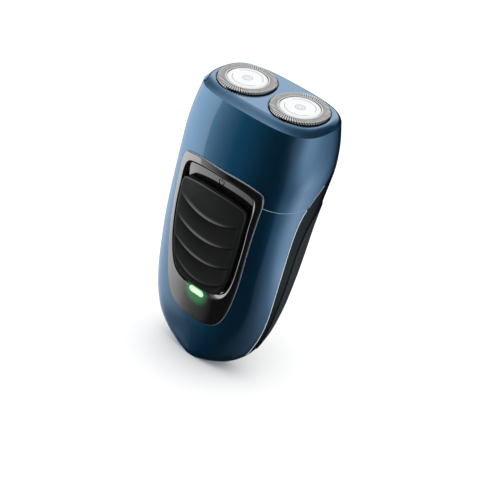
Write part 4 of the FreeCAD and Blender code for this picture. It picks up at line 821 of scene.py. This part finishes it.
def front_section(z, count, x_from):
    """World points along the front quadrant of the form at height z, from x_from to the side."""
    q = 113.5 - z
    a, _ = spline_at(1, q)
    b, _ = spline_at(2, q)
    n, _ = spline_at(4, q)
    k = (8 * 2 ** (-1.0 / n) - 4) / 3.0
    pts = []
    for i in range(401):
        t = i / 400
        x = 3 * (1 - t) ** 2 * t * k * a + 3 * (1 - t) * t * t * a + t**3 * a
        y = -((1 - t) ** 3 * b + 3 * (1 - t) ** 2 * t * b + 3 * (1 - t) * t * t * k * b)
        if x >= x_from:
            pts.append((x * MM, y * MM, z * MM))
    return pts[::max(len(pts) // count, 1)] + [pts[-1]]


for side, nm in ((1, "right"), (-1, "left")):
    pts = [(x * side, y, z) for x, y, z in front_section(79.43, 90, 20.25)]
    o = bead("parting_line_" + nm, pts, 0.11, highlight_edge_m)
    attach(o, "handle")

from mathutils.bvhtree import BVHTree

dg0 = bpy.context.evaluated_depsgraph_get()
TREES = {n: BVHTree.FromObject(N[n], dg0) for n in ("head_shell", "body_shell", "rear_cover")}


def side_hit(side, y, z):
    """First shell or cover surface met from the side at (y, z): its name and place."""
    best = None
    for n, t in TREES.items():
        h = t.ray_cast(Vector((side * 60 * MM, y * MM, z * MM)), Vector((-side, 0, 0)))
        if h[0] is not None and (best is None or h[3] < best[1]):
            best = (n, h[3], h[0])
    return best


def border_point(side, z, y_lo, y_hi):
    """Where the shell gives way to the rear cover at height z, found between two depths."""
    lo, hi = y_lo, y_hi
    h0, h1 = side_hit(side, lo, z), side_hit(side, hi, z)
    if h0 is None or h1 is None or h0[0] == "rear_cover" or h1[0] != "rear_cover":
        return None
    for _ in range(14):
        m = (lo + hi) / 2
        h = side_hit(side, m, z)
        if h is not None and h[0] == "rear_cover":
            hi, h1 = m, h
        else:
            lo = m
            if h is not None and h[0] != "rear_cover":
                h0 = h
    mid = (lo + hi) / 2
    h0, h1 = side_hit(side, mid - 0.35, z), side_hit(side, mid + 0.35, z)
    return Vector(((h0[2].x + h1[2].x) / 2, mid * MM, z * MM))


# brighter painted highlight for the lower beads between shell and rear cover
make("edge_painted_highlight_bright", (0.60, 0.68, 0.74), rough=0.35, metal=0.2, spec=0.5)
detail("edge_painted_highlight_bright", 1800.0, 0.08, 0.30, 0.42)
for side, nm in ((1, "right"), (-1, "left")):
    for part, z0, z1, body in (("low", 10.5, 79.1, "handle"), ("high", 79.9, 88.5, "handle")):
        pts = []
        k = int((z1 - z0) / 0.6)
        for i in range(k + 1):
            z = z0 + (z1 - z0) * i / k
            p = None
            for y0 in (-6, -3, 0, 3, 6, 9, 12):
                p = border_point(side, z, y0 - 3.0, y0 + 3.0)
                if p is not None:
                    break
            if p is not None and abs(p.x) > 8 * MM:
                pts.append(p)
        print("border", nm, part, len(pts), "of", k + 1)
        if len(pts) > 6:
            sm = [pts[0]] + [(pts[i - 1] + pts[i] * 2 + pts[i + 1]) / 4 for i in range(1, len(pts) - 1)] + [pts[-1]]
            o = bead("cover_edge_%s_%s" % (part, nm), [tuple(p) for p in sm], 0.19, MAT["edge_painted_highlight_bright"] if part == "low" else highlight_edge_m)
            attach(o, "handle")

# printed ring on each cap's disc
make("print_grey", (0.16, 0.18, 0.21), rough=0.6, spec=0.2)
detail("print_grey", 1500.0, 0.12, 0.52, 0.66)
print_m = MAT["print_grey"]


def flat_ring(name, r0, r1, z0, z1, centre_x, a0, a1, mat, frame_m, seg=160):
    n = max(int(seg * (a1 - a0) / 360), 3)
    full = abs(a1 - a0) >= 360
    vs, fs = [], []
    for i in range(n + (0 if full else 1)):
        a = math.radians(a0 + (a1 - a0) * i / n)
        c, sn = math.cos(a), math.sin(a)
        for r, z in ((r0, z0), (r1, z0), (r1, z1), (r0, z1)):
            vs.append(((centre_x + r * c) * MM, r * sn * MM, z * MM))
    m = n if full else n + 1
    for i in range(n):
        j = (i + 1) % m
        for k in range(4):
            l = (k + 1) % 4
            fs.append((4 * i + k, 4 * j + k, 4 * j + l, 4 * i + l))
    if not full:
        fs.append((0, 1, 2, 3))
        fs.append((4 * n + 3, 4 * n + 2, 4 * n + 1, 4 * n))
    o = new_mesh(name, vs, fs, mat, smooth=False)
    fix_normals(o)
    o.data.transform(frame_m)
    return o


for side, nm in ((1, "right"), (-1, "left")):
    for k, (r0, r1, a0, a1) in enumerate(((5.75, 5.97, 20, 160), (5.75, 5.97, 200, 340), (1.75, 1.97, 0, 360), (0.85, 1.05, 0, 360))):
        o = flat_ring("disc_print_%s_%d" % (nm, k), r0, r1, 0.98, 1.035, 13.0 * side, a0, a1, print_m, DECK)
        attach(o, "cap_" + nm)

# ---------------------------------------------------------------- camera
cam_data = bpy.data.cameras.new("camera")
cam = bpy.data.objects.new("camera", cam_data)
scene.collection.objects.link(cam)
cam_data.sensor_width = 36.0
cam_data.lens = 107.26
cam_data.clip_start = 0.01
cam_data.clip_end = 60.0
R0 = Vector((0.7395107591, 0.6266185723, 0.2459125902))
R1 = Vector((0.4696361859, -0.2185578198, -0.8553796422))
R2 = Vector((-0.4822506506, 0.7480518994, -0.4559086156))
cam.matrix_world = Matrix((
    (R0.x, -R1.x, -R2.x, 0.285976),
    (R0.y, -R1.y, -R2.y, -0.429571),
    (R0.z, -R1.z, -R2.z, 0.313216),
    (0, 0, 0, 1)))
scene.camera = cam


# ---------------------------------------------------------------- floor and light
def stage_plane(name, size, z, mat):
    me = bpy.data.meshes.new(name)
    s = size / 2
    me.from_pydata([(-s, -s, z), (s, -s, z), (s, s, z), (-s, s, z)], [], [(0, 1, 2, 3)])
    me.materials.append(mat)
    o = bpy.data.objects.new(name, me)
    scene.collection.objects.link(o)
    return o


fm, fnt, fb = principled("floor_white", (0.87, 0.87, 0.87), rough=0.6, spec=0.0)
floor = stage_plane("floor", 30.0, -0.00005, fm)
floor.visible_glossy = False

world = bpy.data.worlds.new("world")
scene.world = world
world.use_nodes = True
world.node_tree.nodes["Background"].inputs["Color"].default_value = (0.985, 0.995, 1.0, 1)
world.node_tree.nodes["Background"].inputs["Strength"].default_value = 1.3
world.cycles_visibility.glossy = False

sun_data = bpy.data.lights.new("sky_soft", "SUN")
sun_data.energy = 0.55
sun_data.angle = math.radians(70)
sun = bpy.data.objects.new("sky_soft", sun_data)
sun.rotation_euler = (math.radians(18), math.radians(-14), 0)
scene.collection.objects.link(sun)
sun.visible_glossy = False


def light_card(name, az, el, level, dist=3.0, centre=(0, 0, 0.06), tint=None):
    """A curved studio light seen only in reflections. az and el are the stops of its grid in degrees, azimuth from
    the front toward +X and elevation from the horizon, and level[j][i] is its brightness at el[j], az[i]. az may be
    one list per elevation stop."""
    def at(u, stops):
        k = min(int(u), len(stops) - 2)
        return stops[k] + (stops[k + 1] - stops[k]) * (u - k)
    rows = az if isinstance(az[0], (tuple, list)) else [az] * len(el)
    sub = 6
    na, ne = (len(rows[0]) - 1) * sub, (len(el) - 1) * sub
    vs, fs, lv = [], [], []
    tint = tint or [(1.0, 1.0, 1.0)] * len(rows[0])
    for j in range(ne + 1):
        for i in range(na + 1):
            u, v = i / sub, j / sub
            k = min(int(v), len(el) - 2)
            a = math.radians(at(u, rows[k]) + (at(u, rows[k + 1]) - at(u, rows[k])) * (v - k))
            e = math.radians(at(v, el))
            vs.append((centre[0] + dist * math.cos(e) * math.sin(a), centre[1] - dist * math.cos(e) * math.cos(a),
                       centre[2] + dist * math.sin(e)))
            val = at(u, level[k]) + (at(u, level[k + 1]) - at(u, level[k])) * (v - k)
            lv.extend([val * at(u, [c[i] for c in tint]) for i in range(3)] + [1.0])
    for j in range(ne):
        for i in range(na):
            k = j * (na + 1) + i
            fs.append((k, k + 1, k + na + 2, k + na + 1))
    me = bpy.data.meshes.new(name)
    me.from_pydata(vs, [], fs)
    at_ = me.attributes.new("level", "FLOAT_COLOR", "POINT")
    at_.data.foreach_set("color", lv)
    mat = bpy.data.materials.new(name)
    mat.use_nodes = True
    nt = mat.node_tree
    for n in list(nt.nodes):
        nt.nodes.remove(n)
    out = nt.nodes.new("ShaderNodeOutputMaterial")
    em = nt.nodes.new("ShaderNodeEmission")
    an = nt.nodes.new("ShaderNodeAttribute")
    an.attribute_name = "level"
    nt.links.new(an.outputs["Color"], em.inputs["Color"])
    nt.links.new(em.outputs[0], out.inputs["Surface"])
    mat.cycles.emission_sampling = "NONE"
    me.materials.append(mat)
    o = bpy.data.objects.new(name, me)
    scene.collection.objects.link(o)
    o.visible_camera = False
    o.visible_diffuse = False
    o.visible_shadow = False
    o.visible_transmission = False
    return o


light_card("light_left", ((-150, -130, -110, -94, -76, -60, -56, -54, -52, -48, -42),
                          (-150, -130, -110, -94, -76, -60, -54, -51, -49, -45, -38),
                          (-150, -130, -110, -94, -76, -60, -50, -46, -44, -41, -34),
                          (-150, -130, -110, -94, -76, -60, -44, -40.0, -39.4, -37, -31),
                          (-150, -130, -110, -94, -76, -60, -44, -40.6, -40.2, -37, -31),
                          (-150, -130, -110, -94, -76, -60, -44, -40.6, -40.2, -37, -31)),
           (-55, -49, -41, -34, -15, 10),
           ((0.0, 0.0, 0.0, 0.05, 0.1, 0.14, 0.14, 0.12, 0.08, 0.04, 0.0),
            (0.2, 0.3, 0.4, 0.45, 0.5, 0.55, 0.45, 0.42, 0.22, 0.05, 0.0),
            (0.4, 0.6, 1.1, 1.6, 1.85, 1.9, 1.6, 1.2, 0.8, 0.4, 0.0),
            (0.45, 0.75, 1.4, 2.1, 2.4, 2.7, 2.9, 3.2, 1.8, 0.8, 0.0),
            (0.45, 0.75, 1.6, 2.7, 3.4, 3.8, 3.6, 3.3, 1.5, 1.1, 0.0),
            (0.45, 0.75, 1.6, 2.7, 3.4, 3.8, 3.6, 3.3, 1.5, 1.1, 0.0)),
           tint=((0.78, 0.92, 1), (0.80, 0.92, 1), (0.84, 0.92, 0.96), (0.90, 0.93, 0.95), (0.97, 0.96, 0.95), (1, 0.98, 0.97),
                 (1, 1, 1), (1, 1, 1), (1, 1, 1), (1, 1, 1), (1, 1, 1)))
light_card("light_right", ((-70, -20, 20, 60, 80, 100, 116, 130, 140, 148, 160, 172),
                           (-60, -15, 20, 60, 80, 100, 116, 130, 140, 148, 160, 172),
                           (33, 37, 48, 70, 88, 102, 116, 130, 140, 148, 160, 172),
                           (55, 58, 64, 73, 85, 99, 113, 128, 140, 148, 160, 172),
                           (65, 68, 72, 77, 86, 97, 111, 128, 140, 148, 160, 172),
                           (26, 41, 46, 55, 72, 90, 105, 124, 140, 148, 158, 170),
                           (3, 21, 29, 42, 58, 74, 91, 115, 132, 145, 156, 170),
                           (0, 13, 19, 32, 52, 70, 88, 115, 132, 145, 156, 170),
                           (0, 13, 19, 32, 52, 70, 88, 115, 132, 145, 156, 170)),
           (-80, -60, -46, -34, -28, -18, -6, 4, 20),
           ((0.0, 0.05, 0.10, 0.10, 0.10, 0.10, 0.1, 0.1, 0.1, 0.1, 0.1, 0.0),
            (0.0, 0.06, 0.13, 0.17, 0.18, 0.18, 0.18, 0.15, 0.15, 0.15, 0.1, 0.0),
            (0.0, 0.16, 0.25, 0.33, 0.36, 0.34, 0.34, 0.34, 0.35, 0.3, 0.15, 0.0),
            (0.0, 0.30, 0.35, 0.43, 0.6, 0.72, 0.78, 0.7, 0.75, 0.65, 0.35, 0.05),
            (0.0, 0.28, 0.35, 0.42, 0.48, 0.6, 1.1, 2.1, 2.7, 2.1, 0.7, 0.1),
            (0.0, 0.10, 0.30, 0.48, 0.88, 1.5, 2.15, 2.0, 1.3, 0.8, 0.38, 0.05),
            (0.03, 0.13, 0.40, 0.80, 1.4, 2.2, 2.8, 2.3, 1.0, 0.68, 0.2, 0.0),
            (0.05, 0.22, 0.55, 0.72, 1.3, 2.2, 2.6, 1.8, 0.85, 0.45, 0.12, 0.0),
            (0.0, 0.0, 0.0, 0.1, 0.2, 0.3, 0.3, 0.2, 0.1, 0.1, 0.05, 0.0)),
           tint=((1, 1, 1), (1, 1, 1), (1, 1, 1), (1, 1, 1), (1, 1, 1), (1, 1, 1), (0.98, 0.99, 1), (0.90, 0.96, 1),
                 (0.80, 0.92, 1), (0.70, 0.88, 1), (0.62, 0.84, 1), (0.6, 0.84, 1)))
light_card("light_top", (-215, -170, -150, -110, -86, -65, -50, -40, -29, -8, 0),
           (17, 25, 31, 37, 45, 53, 60, 88),
           ((0.0, 0.8, 1.6, 1.2, 0.4, 0.3, 0.2, 0.1, 0.0, 0.0, 0.0),
            (0.5, 2.2, 3.1, 2.2, 0.55, 0.5, 0.5, 0.5, 0.3, 0.0, 0.0),
            (0.5, 2.5, 2.95, 2.35, 0.9, 0.65, 0.9, 1.0, 0.6, 0.0, 0.0),
            (0.5, 2.5, 2.95, 2.5, 1.6, 1.3, 1.7, 2.0, 0.8, 0.1, 0.1),
            (0.6, 2.5, 2.95, 2.55, 2.0, 2.0, 2.2, 2.3, 1.1, 0.3, 0.3),
            (0.6, 2.4, 2.9, 2.6, 2.0, 2.4, 2.9, 2.6, 1.2, 0.5, 0.5),
            (0.6, 2.2, 2.6, 2.5, 2.2, 2.4, 2.6, 2.4, 1.3, 0.7, 0.6),
            (1.4, 1.8, 2.0, 2.0, 2.0, 2.0, 2.0, 2.0, 1.4, 1.0, 0.9)),
           tint=((1.05, 1.01, 0.97), (1.07, 1.02, 0.96), (1.07, 1.02, 0.96), (1.07, 1.02, 0.96), (1.03, 1.01, 0.98), (1, 1, 1),
                 (1, 1, 1), (1, 1, 1), (1, 1, 1), (1, 1, 1), (1, 1, 1)))
light_card("light_cap", (0, 48, 98, 145), (22, 30, 50, 88),
           ((0.0, 0.0, 0.0, 0.1), (0.1, 0.14, 0.14, 0.25), (0.4, 0.19, 0.25, 0.35), (0.9, 0.8, 0.9, 1.4)))
light_card("light_fill", tuple(range(-180, 181, 45)), (-89, -45, 0, 45, 89), tuple((0.02,) * 9 for _ in range(5)), dist=4.0)
